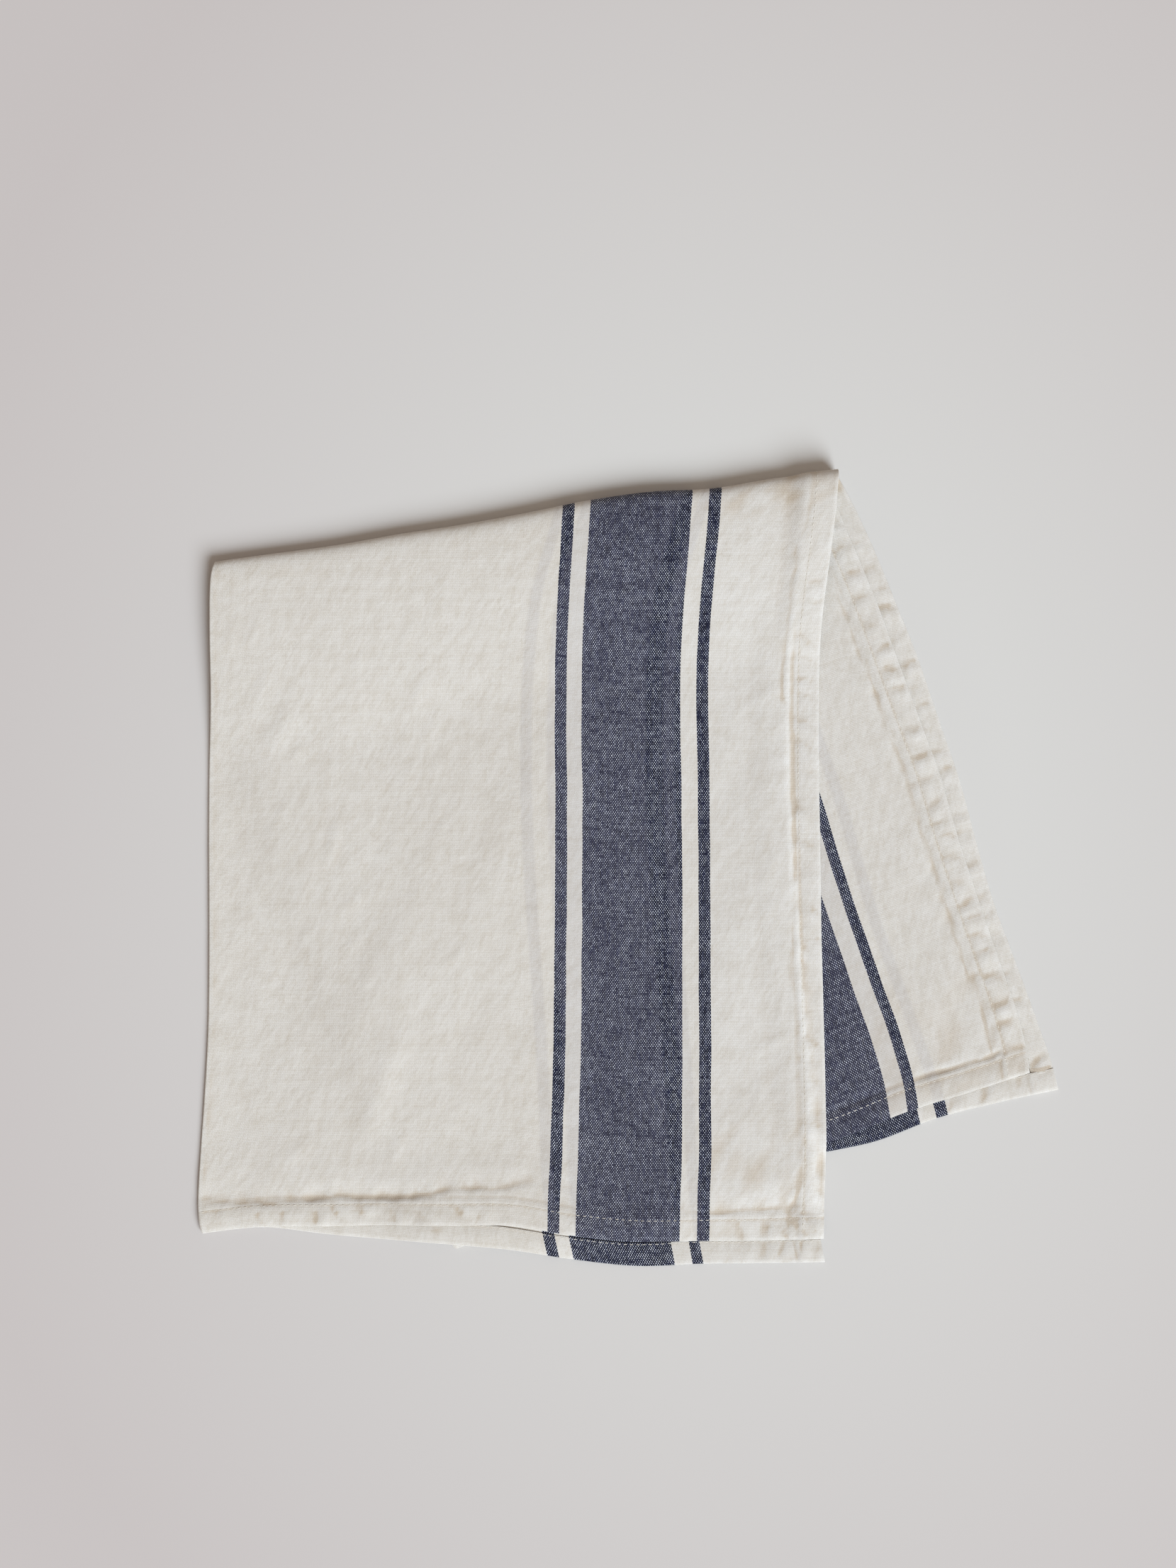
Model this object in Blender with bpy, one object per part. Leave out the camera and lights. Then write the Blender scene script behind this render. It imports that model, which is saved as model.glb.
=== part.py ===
"""Tea towel, folded in half lengthwise and then in half crosswise over a
slanted line, lying flat.  One cloth, one closed solid.

Frame: metres, +Z up, front view from -Y, underside on z = 0.
The work below is in millimetres and is scaled when the mesh is made.

Layers, top to bottom: front upper, front under, back upper, back lower.
"outer" half: front upper joined to back lower round the outside of the top
fold.  "inner" half: front under joined to back upper round its inside.
"""
import bpy
import math

for old in list(bpy.data.objects):
    bpy.data.objects.remove(old, do_unlink=True)

MM = 0.001

# ---- cloth -----------------------------------------------------------------
HALF = 300.0        # long fold to long side, half the cloth's width
THICK = 1.0         # thickness of one layer
GAP = 0.5           # air between two layers
STEP = THICK + GAP  # middle of one layer to middle of the next
LOFT = 0.4          # more air between the front's two layers
HEM = 10.5          # width of the stitched hem
HEM_RISE = 0.6      # extra thickness of the hem
HEM_LIP = 1.0       # run-out from the hem to the single cloth

# ---- the four corners of each half, (x, y) on the floor ---------------------
TOP_FOLD = (-201.5, 148.4)        # where the long fold meets the top fold
TOP_SIDE = (101.5, 193.2)         # where the long sides meet the top fold
FRONT_UPPER = ((-208.2, -177.1), (95.1, -179.2))    # fold end, side end
FRONT_UNDER = ((-208.2, -177.1), (95.8, -191.2))
BACK_LOWER = ((-85.3, -184.4), (209.3, -107.5))
BACK_UPPER = ((-85.3, -184.4), (193.6, -93.9))
TIP_INSET = 1.2     # middle of the stack, inside the top fold's outline

# ---- front outline, a row per height share ---------------------------------
FRONT_SIDES = (
    # share  fold_x   side_x  under_shift
    (0.00, -208.2,  95.1,   0.7),
    (0.05, -208.4,  95.7,  -3.4),
    (0.10, -207.6,  96.3,  -6.6),
    (0.20, -205.4,  95.9,  -8.9),
    (0.30, -203.6,  95.0, -11.2),
    (0.40, -203.1,  94.0, -13.3),
    (0.50, -203.1,  93.5, -15.4),
    (0.60, -203.2,  92.9, -16.7),
    (0.70, -202.9,  92.7, -17.0),
    (0.80, -201.9,  93.7, -16.6),
    (0.90, -202.0,  97.9, -14.2),
    (0.95, -201.9, 100.0, -10.0),
    (1.00, -201.5, 101.5,  -5.2),
)
# ---- back outline, a row per height share ----------------------------------
BACK_SIDES = (
    # share   side_x  upper_shift
    (0.00, 209.3, -15.7),
    (0.05, 205.5, -14.4),
    (0.10, 200.2, -12.5),
    (0.20, 189.3, -10.8),
    (0.30, 178.2,  -9.4),
    (0.40, 169.5, -10.0),
    (0.50, 161.4, -10.3),
    (0.60, 151.2, -10.6),
    (0.70, 141.0, -11.0),
    (0.80, 129.1,  -9.8),
    (0.90, 116.6,  -9.4),
    (0.95, 109.5,  -8.2),
    (1.00, 101.5,  -5.2),
)
# ---- how far each cross edge wanders off its chord, a row per width share ---
EDGE_BENDS = (
    # share  top  front_upper  front_under  back_upper  back_lower
    (0.00,  0.0,  0.0,  0.0,  0.0,  0.0),
    (0.10, -0.6,  3.4,  4.2, -0.7, -0.1),
    (0.20, -0.6,  4.0,  2.3, -1.4, -0.2),
    (0.30, -0.4,  4.9,  1.1, -2.1, -0.3),
    (0.40, -0.2,  5.3,  0.6, -2.8, -0.4),
    (0.50,  0.2,  5.1, -0.9, -3.9, -0.5),
    (0.60,  1.6,  0.5, -4.4, -4.6, -0.7),
    (0.70,  1.3, -1.8, -6.2, -3.7, -1.9),
    (0.80, -1.2, -1.2, -3.7, -0.9,  1.5),
    (0.90, -1.2, -0.9, -2.0, -0.7,  1.3),
    (1.00,  0.0,  0.0,  0.0,  0.0,  0.0),
)
# ---- top fold, a row per width share ---------------------------------------
TOP_LOOP = (
    # share  nose_run  nose_rise
    (0.00,  7.5, 3.4),
    (0.15,  8.5, 3.6),
    (0.50, 10.0, 4.2),
    (0.80, 10.5, 5.0),
    (1.00, 10.5, 5.5),
)
LOOP_FRONT = 75.0   # the fold's swell ends this far down the front
LOOP_BACK = 20.0    # and this far down the back
STEP_DOWN = 34.0    # width over which the front drops off the back half
STEP_CLEAR = 4.0    # level ground left round the back half before that

# ---- main swells of the front layers ---------------------------------------
SWELLS = (
    # x,     y,    lean,  length, width, height
    (-150.0,  70.0,  78.0, 80.0, 30.0, 0.8),
    (-118.0, -70.0,  70.0, 70.0, 32.0, 0.9),
    ( -40.0,  20.0,  64.0, 75.0, 34.0, 0.8),
    (  45.0, -60.0,  84.0, 70.0, 30.0, 0.7),
    (  20.0,  90.0,  88.0, 60.0, 34.0, 0.6),
)

# ---- grid ------------------------------------------------------------------
SIDE_STATIONS = (0.0, 5.0, HEM, HEM + HEM_LIP, 21.0, 33.0)  # from a long side
END_STATIONS = (0.0, 5.0, HEM, HEM + HEM_LIP, 18.0, 28.0)   # from a cross edge
ACROSS = 14         # cells from there to the long fold
BEND_CELLS = 6      # cells round the long fold
DOWN_FRONT = 14     # cells from there to the top fold, front
DOWN_BACK = 12      # the same, back
LOOP_UPPER = 6      # cells over the fold's swell
LOOP_NOSE = 8       # cells round its nose
LOOP_LOWER = 2      # cells under it


def soft(x):
    """0 below 0, 1 above 1, a smooth step between."""
    x = min(1.0, max(0.0, x))
    return x * x * (3.0 - 2.0 * x)


def mix(a, b, t):
    return a + (b - a) * t


def look_up(table, share, column):
    """One column of a table, at a share, straight between its rows."""
    share = min(1.0, max(0.0, share))
    for low, high in zip(table, table[1:]):
        if share <= high[0]:
            t = (share - low[0]) / (high[0] - low[0])
            return mix(low[column], high[column], t)
    return table[-1][column]


def front_shift(width, up, outer):
    """How far the inner half lies from the outer one, along the width."""
    return 0.0 if outer else look_up(FRONT_SIDES, up, 3) * soft(width * 2.4)


def back_shift(width, up, outer):
    return 0.0 if outer else look_up(BACK_SIDES, up, 2) * soft(width * 2.4)


def strip(ends, fold_x, side_x, width, up, shift, edge):
    """Point between the two sides, with its cross edges' bends."""
    fold_y = mix(ends[0][1], TOP_FOLD[1], up)
    side_y = mix(ends[1][1], TOP_SIDE[1], up)
    low = max(0.0, 1.0 - up)
    across = side_x - fold_x
    bend = (look_up(EDGE_BENDS, width, edge) * low * low
            + look_up(EDGE_BENDS, width + shift / across, 1) * up * up)
    return (mix(fold_x, side_x, width) + shift,
            mix(fold_y, side_y, width) + shift * (side_y - fold_y) / across
            + bend - TIP_INSET * up * up)


def front_plan(width, up, outer):
    """Front point at a share of the width from the fold and of the height."""
    return strip(FRONT_UPPER if outer else FRONT_UNDER,
                 look_up(FRONT_SIDES, up, 1), look_up(FRONT_SIDES, up, 2),
                 width, up, front_shift(width, up, outer),
                 2 if outer else 3)


def back_plan(width, up, outer):
    """Back point, the same way; the back leans to the lower right."""
    ends = BACK_LOWER if outer else BACK_UPPER
    return strip(ends, mix(ends[0][0], TOP_FOLD[0], up),
                 look_up(BACK_SIDES, up, 1),
                 width, up, back_shift(width, up, outer),
                 5 if outer else 4)


def run(plan, width, outer):
    """Length of a strip from its cross edge to the top fold."""
    low, high = plan(width, 0.0, outer), plan(width, 1.0, outer)
    return math.dist(low, high)


def beside(point, start, end):
    """Distance of a point from a line; positive on its left-hand side."""
    dx, dy = end[0] - start[0], end[1] - start[1]
    return (dx * (point[1] - start[1]) - dy * (point[0] - start[0])) \
        / math.hypot(dx, dy)


def hem_room(width, shift, from_end, lead):
    """1 where hems lie one over another and the layers need more room."""
    by_side = soft((width * HALF + shift - 262.0) / 9.0)
    by_end = 1.0 - soft((from_end - lead - 12.0) / 6.0)
    return max(by_side, by_end)


def back_top(x, y):
    """Height the front lies on: the back's two layers, or the floor."""
    point = (x, y)
    from_fold = beside(point, BACK_LOWER[0], TOP_FOLD) * -1.0
    from_end = beside(point, BACK_LOWER[0], BACK_LOWER[1])
    from_side = beside(point, BACK_LOWER[1], TOP_SIDE)
    held = soft((from_fold + STEP_CLEAR + STEP_DOWN) / STEP_DOWN) \
        * soft((from_end + STEP_CLEAR + STEP_DOWN) / STEP_DOWN)
    hems = max(soft((38.0 - from_side) / 9.0),
               1.0 - soft((from_end - 26.0) / 6.0))
    return held * 2.0 * (STEP + HEM_RISE * hems)


def swell(x, y):
    """Height of the front's main swells at a point."""
    total = 0.0
    for sx, sy, lean, length, width, height in SWELLS:
        c, s = math.cos(math.radians(lean)), math.sin(math.radians(lean))
        along = ((x - sx) * c + (y - sy) * s) / length
        across = ((y - sy) * c - (x - sx) * s) / width
        total += height * math.exp(-along * along - across * across)
    return total


def front_level(x, y, room):
    """Middle height of the front's two layers."""
    lowest = THICK / 2.0 + HEM_RISE * room / 2.0
    return back_top(x, y) + swell(x, y) + lowest \
        + (STEP + LOFT + HEM_RISE * room) / 2.0


def back_level(room):
    """Middle height of the back's two layers."""
    return THICK / 2.0 + HEM_RISE * room / 2.0 \
        + (STEP + HEM_RISE * room) / 2.0


def across_stations():
    """Across the cloth, from the inner half's side to the outer's: distance
    from the long fold, then round the fold the run in from it and the offset
    through the stack, both as shares of half the stack, then which half."""
    edge = [HALF - d for d in SIDE_STATIONS]
    last = edge[-1]
    edge += [mix(last, 4.0, (k + 1) / ACROSS) for k in range(ACROSS)]
    inner = [(a, 1.0, -1.0, False) for a in edge]
    round_fold = []
    for k in range(BEND_CELLS + 1):
        turn = math.radians(mix(-90.0, 90.0, k / BEND_CELLS))
        round_fold.append((0.0, 1.0 - math.cos(turn), math.sin(turn),
                           turn >= 0.0))
    outer = [(a, 1.0, 1.0, True) for a in reversed(edge)]
    return inner + round_fold + outer


def place(station, row):
    """Middle-surface point, in mm, and the thickness there."""
    a, run_in, through, outer = station
    part, value = row
    width = a / HALF
    other = not outer
    hem_side = 1.0 - soft((HALF - a - HEM) / HEM_LIP)

    if part == "front" or part == "back":
        plan = front_plan if part == "front" else back_plan
        swell_run = LOOP_FRONT if part == "front" else LOOP_BACK
        length = run(plan, width, outer)
        ends = END_STATIONS
        if value < len(ends):
            down = ends[value]
        else:
            cells = DOWN_FRONT if part == "front" else DOWN_BACK
            t = (value - len(ends) + 1) / cells
            down = mix(ends[-1], length - swell_run, t)
        up = down / length
        x, y = plan(width, up, outer)
        lead = run(plan, width, other) - length
        slip = front_shift if part == "front" else back_shift
        room = hem_room(width, slip(width, up, outer),
                        down + max(0.0, lead), abs(lead))
        half = (STEP + HEM_RISE * room) / 2.0
        hem = max(hem_side, 1.0 - soft((down - HEM) / HEM_LIP))
        if part == "front":
            half += LOFT / 2.0
            z = front_level(x, y, room) + half * through
        else:
            z = back_level(room) - half * through
        in_x = half * run_in * (1.0 - width)
        return (x + in_x, y, z), THICK + HEM_RISE * hem

    # round the top fold: q is the distance from its tip, seen from above
    shift = front_shift(width, 1.0, outer)
    nose = look_up(TOP_LOOP, width + shift / HALF, 1)
    rise = look_up(TOP_LOOP, width + shift / HALF, 2)
    room = hem_room(width, shift, HALF, 0.0)
    half = (STEP + HEM_RISE * room) / 2.0
    low = back_level(room)
    if part == "upper":
        half += LOFT / 2.0 * (1.0 - soft(value))
        q = mix(LOOP_FRONT, nose, value)
        top = low + 2.0 * rise
        x, y = front_plan(width, 1.0 - q / run(front_plan, width, outer),
                          outer)
        level = front_level(x, y, room)
        swing = math.pi * (q - nose) / (LOOP_FRONT - nose)
        z = level + (top - level) * (1.0 + math.cos(swing)) / 2.0
        slope = -(top - level) * math.sin(swing) / 2.0 \
            * math.pi / (LOOP_FRONT - nose)
        size = math.hypot(1.0, slope)
        side_q, side_z = -slope / size, 1.0 / size
        turned = 0.0
    elif part == "nose":
        angle = math.radians(mix(90.0, -90.0, value))
        q = nose * (1.0 - math.cos(angle))
        z = low + rise + rise * math.sin(angle)
        size = math.hypot(rise * math.cos(angle), nose * math.sin(angle))
        side_q = -rise * math.cos(angle) / size
        side_z = nose * math.sin(angle) / size
        turned = soft(value)
    else:
        q = mix(nose, LOOP_BACK, value)
        z = low
        side_q, side_z = 0.0, -1.0
        turned = 1.0
    q += half * through * side_q
    z += half * through * side_z
    fx, fy = front_plan(width, 1.0 - q / run(front_plan, width, outer), outer)
    bx, by = back_plan(width, 1.0 - q / run(back_plan, width, outer), outer)
    in_x = half * run_in * (1.0 - width)
    return (mix(fx, bx, turned) + in_x, mix(fy, by, turned), z), \
        THICK + HEM_RISE * hem_side


def rows():
    """Rows of the cloth, from the front's cross edge round to the back's."""
    front = [("front", k) for k in range(len(END_STATIONS) + DOWN_FRONT)]
    upper = [("upper", (k + 1) / LOOP_UPPER) for k in range(LOOP_UPPER)]
    nose = [("nose", (k + 1) / LOOP_NOSE) for k in range(LOOP_NOSE)]
    lower = [("lower", (k + 1) / LOOP_LOWER) for k in range(LOOP_LOWER - 1)]
    back = [("back", k) for k in range(len(END_STATIONS) + DOWN_BACK)]
    return front + upper + nose + lower + back[::-1]


def normal(grid, j, i):
    """Direction out of the middle surface, from its neighbours."""
    j0, j1 = max(0, j - 1), min(len(grid) - 1, j + 1)
    i0, i1 = max(0, i - 1), min(len(grid[0]) - 1, i + 1)
    u = [p - q for p, q in zip(grid[j][i1], grid[j][i0])]
    v = [p - q for p, q in zip(grid[j1][i], grid[j0][i])]
    n = (u[1] * v[2] - u[2] * v[1],
         u[2] * v[0] - u[0] * v[2],
         u[0] * v[1] - u[1] * v[0])
    size = math.sqrt(sum(c * c for c in n))
    return [c / size for c in n]


def linen():
    """Warm off-white woven cloth."""
    material = bpy.data.materials.new("cloth")
    material.use_nodes = True
    shader = material.node_tree.nodes["Principled BSDF"]
    shader.inputs["Base Color"].default_value = (0.76, 0.72, 0.66, 1.0)
    shader.inputs["Roughness"].default_value = 0.9
    shader.inputs["Metallic"].default_value = 0.0
    return material


def cloth():
    """The towel as one closed solid."""
    stations = across_stations()
    placed = [[place(s, row) for s in stations] for row in rows()]
    middle = [[point for point, thick in line] for line in placed]
    deep, wide = len(middle), len(middle[0])

    verts = []
    for side in (1.0, -1.0):
        for j in range(deep):
            for i in range(wide):
                n = normal(middle, j, i)
                reach = side * placed[j][i][1] / 2.0
                verts.append([(c + d * reach) * MM
                              for c, d in zip(middle[j][i], n)])

    def at(side, j, i):
        return side * deep * wide + j * wide + i

    faces = []
    for j in range(deep - 1):
        for i in range(wide - 1):
            faces.append((at(0, j, i), at(0, j, i + 1),
                          at(0, j + 1, i + 1), at(0, j + 1, i)))
            faces.append((at(1, j, i), at(1, j + 1, i),
                          at(1, j + 1, i + 1), at(1, j, i + 1)))
    for i in range(wide - 1):
        faces.append((at(0, 0, i + 1), at(0, 0, i),
                      at(1, 0, i), at(1, 0, i + 1)))
        faces.append((at(0, deep - 1, i), at(0, deep - 1, i + 1),
                      at(1, deep - 1, i + 1), at(1, deep - 1, i)))
    for j in range(deep - 1):
        faces.append((at(0, j, 0), at(0, j + 1, 0),
                      at(1, j + 1, 0), at(1, j, 0)))
        faces.append((at(0, j + 1, wide - 1), at(0, j, wide - 1),
                      at(1, j, wide - 1), at(1, j + 1, wide - 1)))

    middle_x, middle_y = ((min(v[k] for v in verts)
                           + max(v[k] for v in verts)) / 2.0 for k in (0, 1))
    lowest = min(v[2] for v in verts)
    verts = [(v[0] - middle_x, v[1] - middle_y, v[2] - lowest)
             for v in verts]
    mesh = bpy.data.meshes.new("towel")
    mesh.from_pydata(verts, [], faces)
    mesh.update()
    mesh.shade_smooth()
    mesh.set_sharp_from_angle(angle=math.radians(50.0))
    mesh.materials.append(linen())
    thing = bpy.data.objects.new("towel", mesh)
    bpy.context.scene.collection.objects.link(thing)
    return thing


cloth()
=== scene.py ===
"""Tea towel, folded lengthwise and then crosswise over a slanted line.

The cloth is one sheet with its hems turned, folded by the same outline as
its solid.  Work is in millimetres; +Z up, floor at z = 0.
"""
import bpy
import math
import numpy as np
from collections import namedtuple
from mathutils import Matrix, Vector


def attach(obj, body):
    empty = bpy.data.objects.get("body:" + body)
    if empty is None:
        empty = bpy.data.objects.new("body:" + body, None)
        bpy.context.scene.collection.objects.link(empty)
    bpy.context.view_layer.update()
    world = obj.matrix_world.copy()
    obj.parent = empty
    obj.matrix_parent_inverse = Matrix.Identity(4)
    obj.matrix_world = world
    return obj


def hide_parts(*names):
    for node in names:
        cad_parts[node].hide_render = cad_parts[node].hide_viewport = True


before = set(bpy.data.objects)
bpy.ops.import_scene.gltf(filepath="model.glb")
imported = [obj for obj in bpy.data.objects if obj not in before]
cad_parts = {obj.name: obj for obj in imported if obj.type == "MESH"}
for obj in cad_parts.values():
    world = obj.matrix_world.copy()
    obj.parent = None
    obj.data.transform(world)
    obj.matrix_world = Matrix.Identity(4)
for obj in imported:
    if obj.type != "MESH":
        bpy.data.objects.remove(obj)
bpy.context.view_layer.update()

MM = 0.001

# ---------------------------------------------------------------- cloth sizes
HALF = 300.0             # long fold to long side
LENGTH = 700.0
CENTRE = (0.085, 0.255)  # the solid's frame shift, mm
REST = 0.30              # lowest layer above the floor
PLY_BACK = 0.75          # clear height of back upper over back lower
PLY_MID = 0.75           # of front under over the back
PLY_FRONT = 0.85         # of front upper over front under
FOLD_LOFT = 0.45         # more at the long fold
HEM = 11.2               # turned hem
SEAM = 10.3              # stitch line from the edge
STITCH = 3.0             # stitch pitch
HEM_LOFT = np.array((
    # from_edge  thickness
    (0.0, 0.60),
    (2.0, 0.70),
    (5.0, 0.78),
    (8.0, 0.68),
    (10.3, 0.40),
    (11.2, 0.44),
))
HEM_LEAST = 0.34         # a hem's least thickness
LAP = 0.25               # ply thickness where one hem crosses another
TURN = 0.8               # cloth that goes round a hem's edge
TUCK = 0.26              # the turned-in end lies this much nearer
STITCH_SIDES = 5
STITCH_ENDS = (0.12, 0.88)    # as shares of the pitch
STITCH_LIFT = (-0.18, -0.02, -0.02, -0.18)  # from end to end
STITCH_THICK = (0.12, 0.21, 0.21, 0.12)
STITCH_FLAT = 0.8             # height to width

# ------------------------------------------------------------------- outlines
TOP_FOLD = (-201.5, 148.4)     # where the long fold meets the top fold
TOP_SIDE_Y = 193.5             # and where the side hems do
FRONT_FOLD_Y = -177.1          # the long fold's lower ends
BACK_FOLD = (-85.3, -184.4)

FRONT_SIDES = np.array((
    # share  fold_x   side_x  under_shift
    (0.00, -208.2,  95.1,   0.7),
    (0.05, -208.4,  95.7,  -3.4),
    (0.10, -207.6,  96.3,  -6.6),
    (0.20, -205.4,  95.9,  -8.9),
    (0.30, -203.6,  95.0, -11.2),
    (0.40, -203.1,  94.0, -13.3),
    (0.50, -203.1,  93.5, -15.4),
    (0.60, -203.2,  92.9, -16.7),
    (0.70, -202.9,  92.7, -17.0),
    (0.80, -201.9,  93.7, -16.6),
    (0.90, -202.0,  97.9, -14.2),
    (0.95, -201.9, 100.0, -10.0),
    (1.00, -201.5, 101.5,  -5.2),
))
BACK_SIDES = np.array((
    # share   side_x  upper_shift
    (0.00, 209.3, -14.2),
    (0.05, 205.5, -12.7),
    (0.10, 200.2, -11.4),
    (0.20, 189.3, -10.5),
    (0.30, 178.2,  -9.4),
    (0.40, 169.5, -10.0),
    (0.50, 161.4, -10.3),
    (0.60, 151.2, -10.6),
    (0.70, 141.0, -11.0),
    (0.80, 129.1,  -9.8),
    (0.90, 116.6,  -9.4),
    (0.95, 109.5,  -8.2),
    (1.00, 101.5,  -5.2),
))
EDGE_BENDS = np.array((
    # share  top  front_upper  front_under  back_upper  back_lower
    (0.00, -0.4,  0.0,  0.0,  0.0,  0.0),
    (0.10, -0.9,  3.4,  4.2, -0.7, -0.1),
    (0.20, -1.3,  4.0,  2.3, -1.4, -0.2),
    (0.30, -0.5,  4.9,  1.1, -2.1, -0.3),
    (0.40, -0.4,  5.3,  0.6, -2.8, -0.4),
    (0.50,  0.6,  5.3, -0.9, -3.9, -0.5),
    (0.60,  2.2,  0.7, -4.4, -4.6, -0.7),
    (0.70,  2.0, -1.9, -6.2, -3.7, -1.9),
    (0.80, -0.9, -1.7, -3.7, -0.9,  1.5),
    (0.90, -0.5, -1.3, -2.0, -0.7,  1.3),
    (1.00, -1.6,  0.0,  0.0,  0.0,  0.0),
))
TOP_LOOP = np.array((
    # share  nose_run  nose_rise
    (0.00,  7.5, 2.9),
    (0.15,  8.5, 3.2),
    (0.50,  9.0, 3.9),
    (0.80,  8.5, 4.5),
    (1.00,  8.0, 4.7),
))
NOSE_SQUARE = 0.72       # 1 is an ellipse, less is squarer
LOOP_FRONT = 110.0       # the fold's swell ends this far down the front
LOOP_BACK = 24.0         # and this far down the back

# the four layers of the folded cloth
Layer = namedtuple("Layer", (
    "hem",        # its hems' name among the tucks
    "part",
    "outer",      # on the outer half, from the long fold
    "fold_y",     # cross edge at the long fold and at the side
    "side_y",
    "bend",       # its column of EDGE_BENDS
    "reach",      # how far it spans what it lies on
    "clear",
    "hem_below",  # hem turned to its lower side
    "seed",
))
BACK_LOWER = Layer("lower", "back", True, BACK_FOLD[1], -107.5, 5,
                   0.0, 0.0, False, 31)
BACK_UPPER = Layer("upper", "back", False, BACK_FOLD[1], -94.8, 4,
                   3.0, PLY_BACK, True, 32)
FRONT_UNDER = Layer("under", "front", False, FRONT_FOLD_Y, -191.2, 3,
                    17.0, PLY_MID, False, 33)
FRONT_UPPER = Layer("front", "front", True, FRONT_FOLD_Y, -179.6, 2,
                    2.6, PLY_FRONT, True, 34)
# from the floor up
LAYERS = (BACK_LOWER, BACK_UPPER, FRONT_UNDER, FRONT_UPPER)

# ----------------------------------------------------------- swells, creases
SWELLS = (
    #    x       y    length width lean  height
    (-150.0,  70.0, 80.0, 30.0, 78.0, 0.5),
    (-118.0, -70.0, 70.0, 32.0, 70.0, 0.9),
    ( -40.0,  20.0, 75.0, 34.0, 64.0, 0.8),
    (  45.0, -60.0, 70.0, 30.0, 84.0, 0.7),
    (  20.0,  90.0, 60.0, 34.0, 88.0, 0.6),
)
CREASES = np.array((
    #    x       y    length width lean  height
    (-192.2,  111.6,   7.6,  2.3,  80.0,  0.10),
    (-180.8,  113.3,   5.9,  2.3,  70.0,  0.10),
    (-176.7,   88.2,   8.6,  2.3,  78.0,  0.10),
    (-138.9,   99.6,   4.1,  2.1,  65.0,  0.07),
    (-131.0,   99.6,   4.1,  2.1,  65.0,  0.07),
    (-168.8,   66.9,  11.7,  5.7,  62.0,  0.22),
    (-160.9,   55.9,   4.8,  2.1,  60.0,  0.13),
    (-167.1,   29.1,   4.8,  2.1,  65.0,  0.10),
    (-143.3,   11.9,  11.0,  2.3,  78.0,  0.20),
    (-106.9,  111.6,   4.8,  2.1,  65.0,  0.08),
    (-101.7,   84.1,  10.3,  3.1,  60.0,  0.10),
    ( -94.9,   68.6,   9.7,  2.6,  68.0,  0.11),
    (-105.2,   48.0,   4.1,  2.1,  65.0,  0.08),
    ( -92.5,   49.7,   4.1,  2.1,  65.0,  0.08),
    ( -91.4,   30.8,   5.5,  2.1,  72.0,  0.10),
    ( -91.4,   18.8,   4.8,  2.1,  70.0,  0.10),
    ( -50.2,   36.0,   5.2,  2.3,  70.0,  0.07),
    (-132.7,  -15.6,   9.0,  2.3,  42.0,  0.09),
    (-156.8,  -32.8,   4.8,  2.1,  60.0,  0.09),
    (-132.7,  -36.2,   4.8,  2.3,  65.0,  0.09),
    (-158.5,  -56.2,   6.2,  2.3,  80.0,  0.10),
    (-148.2,  -53.4,   4.8,  2.1,  70.0,  0.09),
    (-125.8,  -53.4,   4.8,  2.3,  68.0,  0.09),
    ( -84.5,  -43.1,   8.3,  2.6,  35.0,  0.09),
    (-119.6, -105.0,  24.8,  6.7,  72.0,  0.30),
    (-112.1, -136.0,   7.6,  2.3,  75.0,  0.16),
    (-158.5, -136.0,  10.3,  3.6,  40.0,  0.12),
    (  81.2,   66.9,   3.1,  2.1,  60.0,  0.12),
    (  81.9,   25.6,   3.4,  2.1,  60.0,  0.18),
    (  63.3,   82.4,   8.3,  2.6,  30.0,  0.09),
    (  71.9,   68.6,   6.2,  2.3,  35.0,  0.09),
    (  68.8,   -0.1,   9.7,  2.3,  66.0,  0.12),
    (  66.8,  -22.5,   4.8,  2.3,  50.0,  0.08),
    (  69.5,  -84.7,   9.7,  2.3,  30.0,  0.10),
    (  63.3, -110.2,   9.0,  2.3,  85.0,  0.10),
    (  74.3,  -67.2,   7.6,  2.1,  84.0,  0.10),
    (  71.9, -151.4,   4.1,  2.1,  40.0,  0.10),
    (  82.9, -137.7,  12.4,  2.3,  84.0,  0.10),
    (  80.9, -157.3,   4.8,  2.1,  60.0,  0.22),
    (  68.5, -162.8,   4.1,  2.1,  20.0,  0.10),
))

# the trough the pulled-in bottom hem leaves above itself, front upper
FRONT_KINK = np.array((
    #    x        y     depth
    (-203.0, -160.7, 0.15),
    (-191.1, -162.4, 0.35),
    (-167.1, -161.8, 0.55),
    (-153.3, -160.7, 0.60),
    (-143.0, -158.3, 0.65),
    (-125.8, -160.0, 0.60),
    (-108.6, -159.4, 0.65),
    ( -96.6, -157.3, 0.65),
    ( -84.5, -154.2, 0.60),
    ( -63.9, -154.9, 0.35),
    ( -43.3, -150.8, 0.25),
    ( -12.3, -160.0, 0.10),
    (  40.3, -166.9, 0.25),
    (  59.9, -165.2, 0.30),
    (  90.8, -163.5, 0.20),
))

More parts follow.
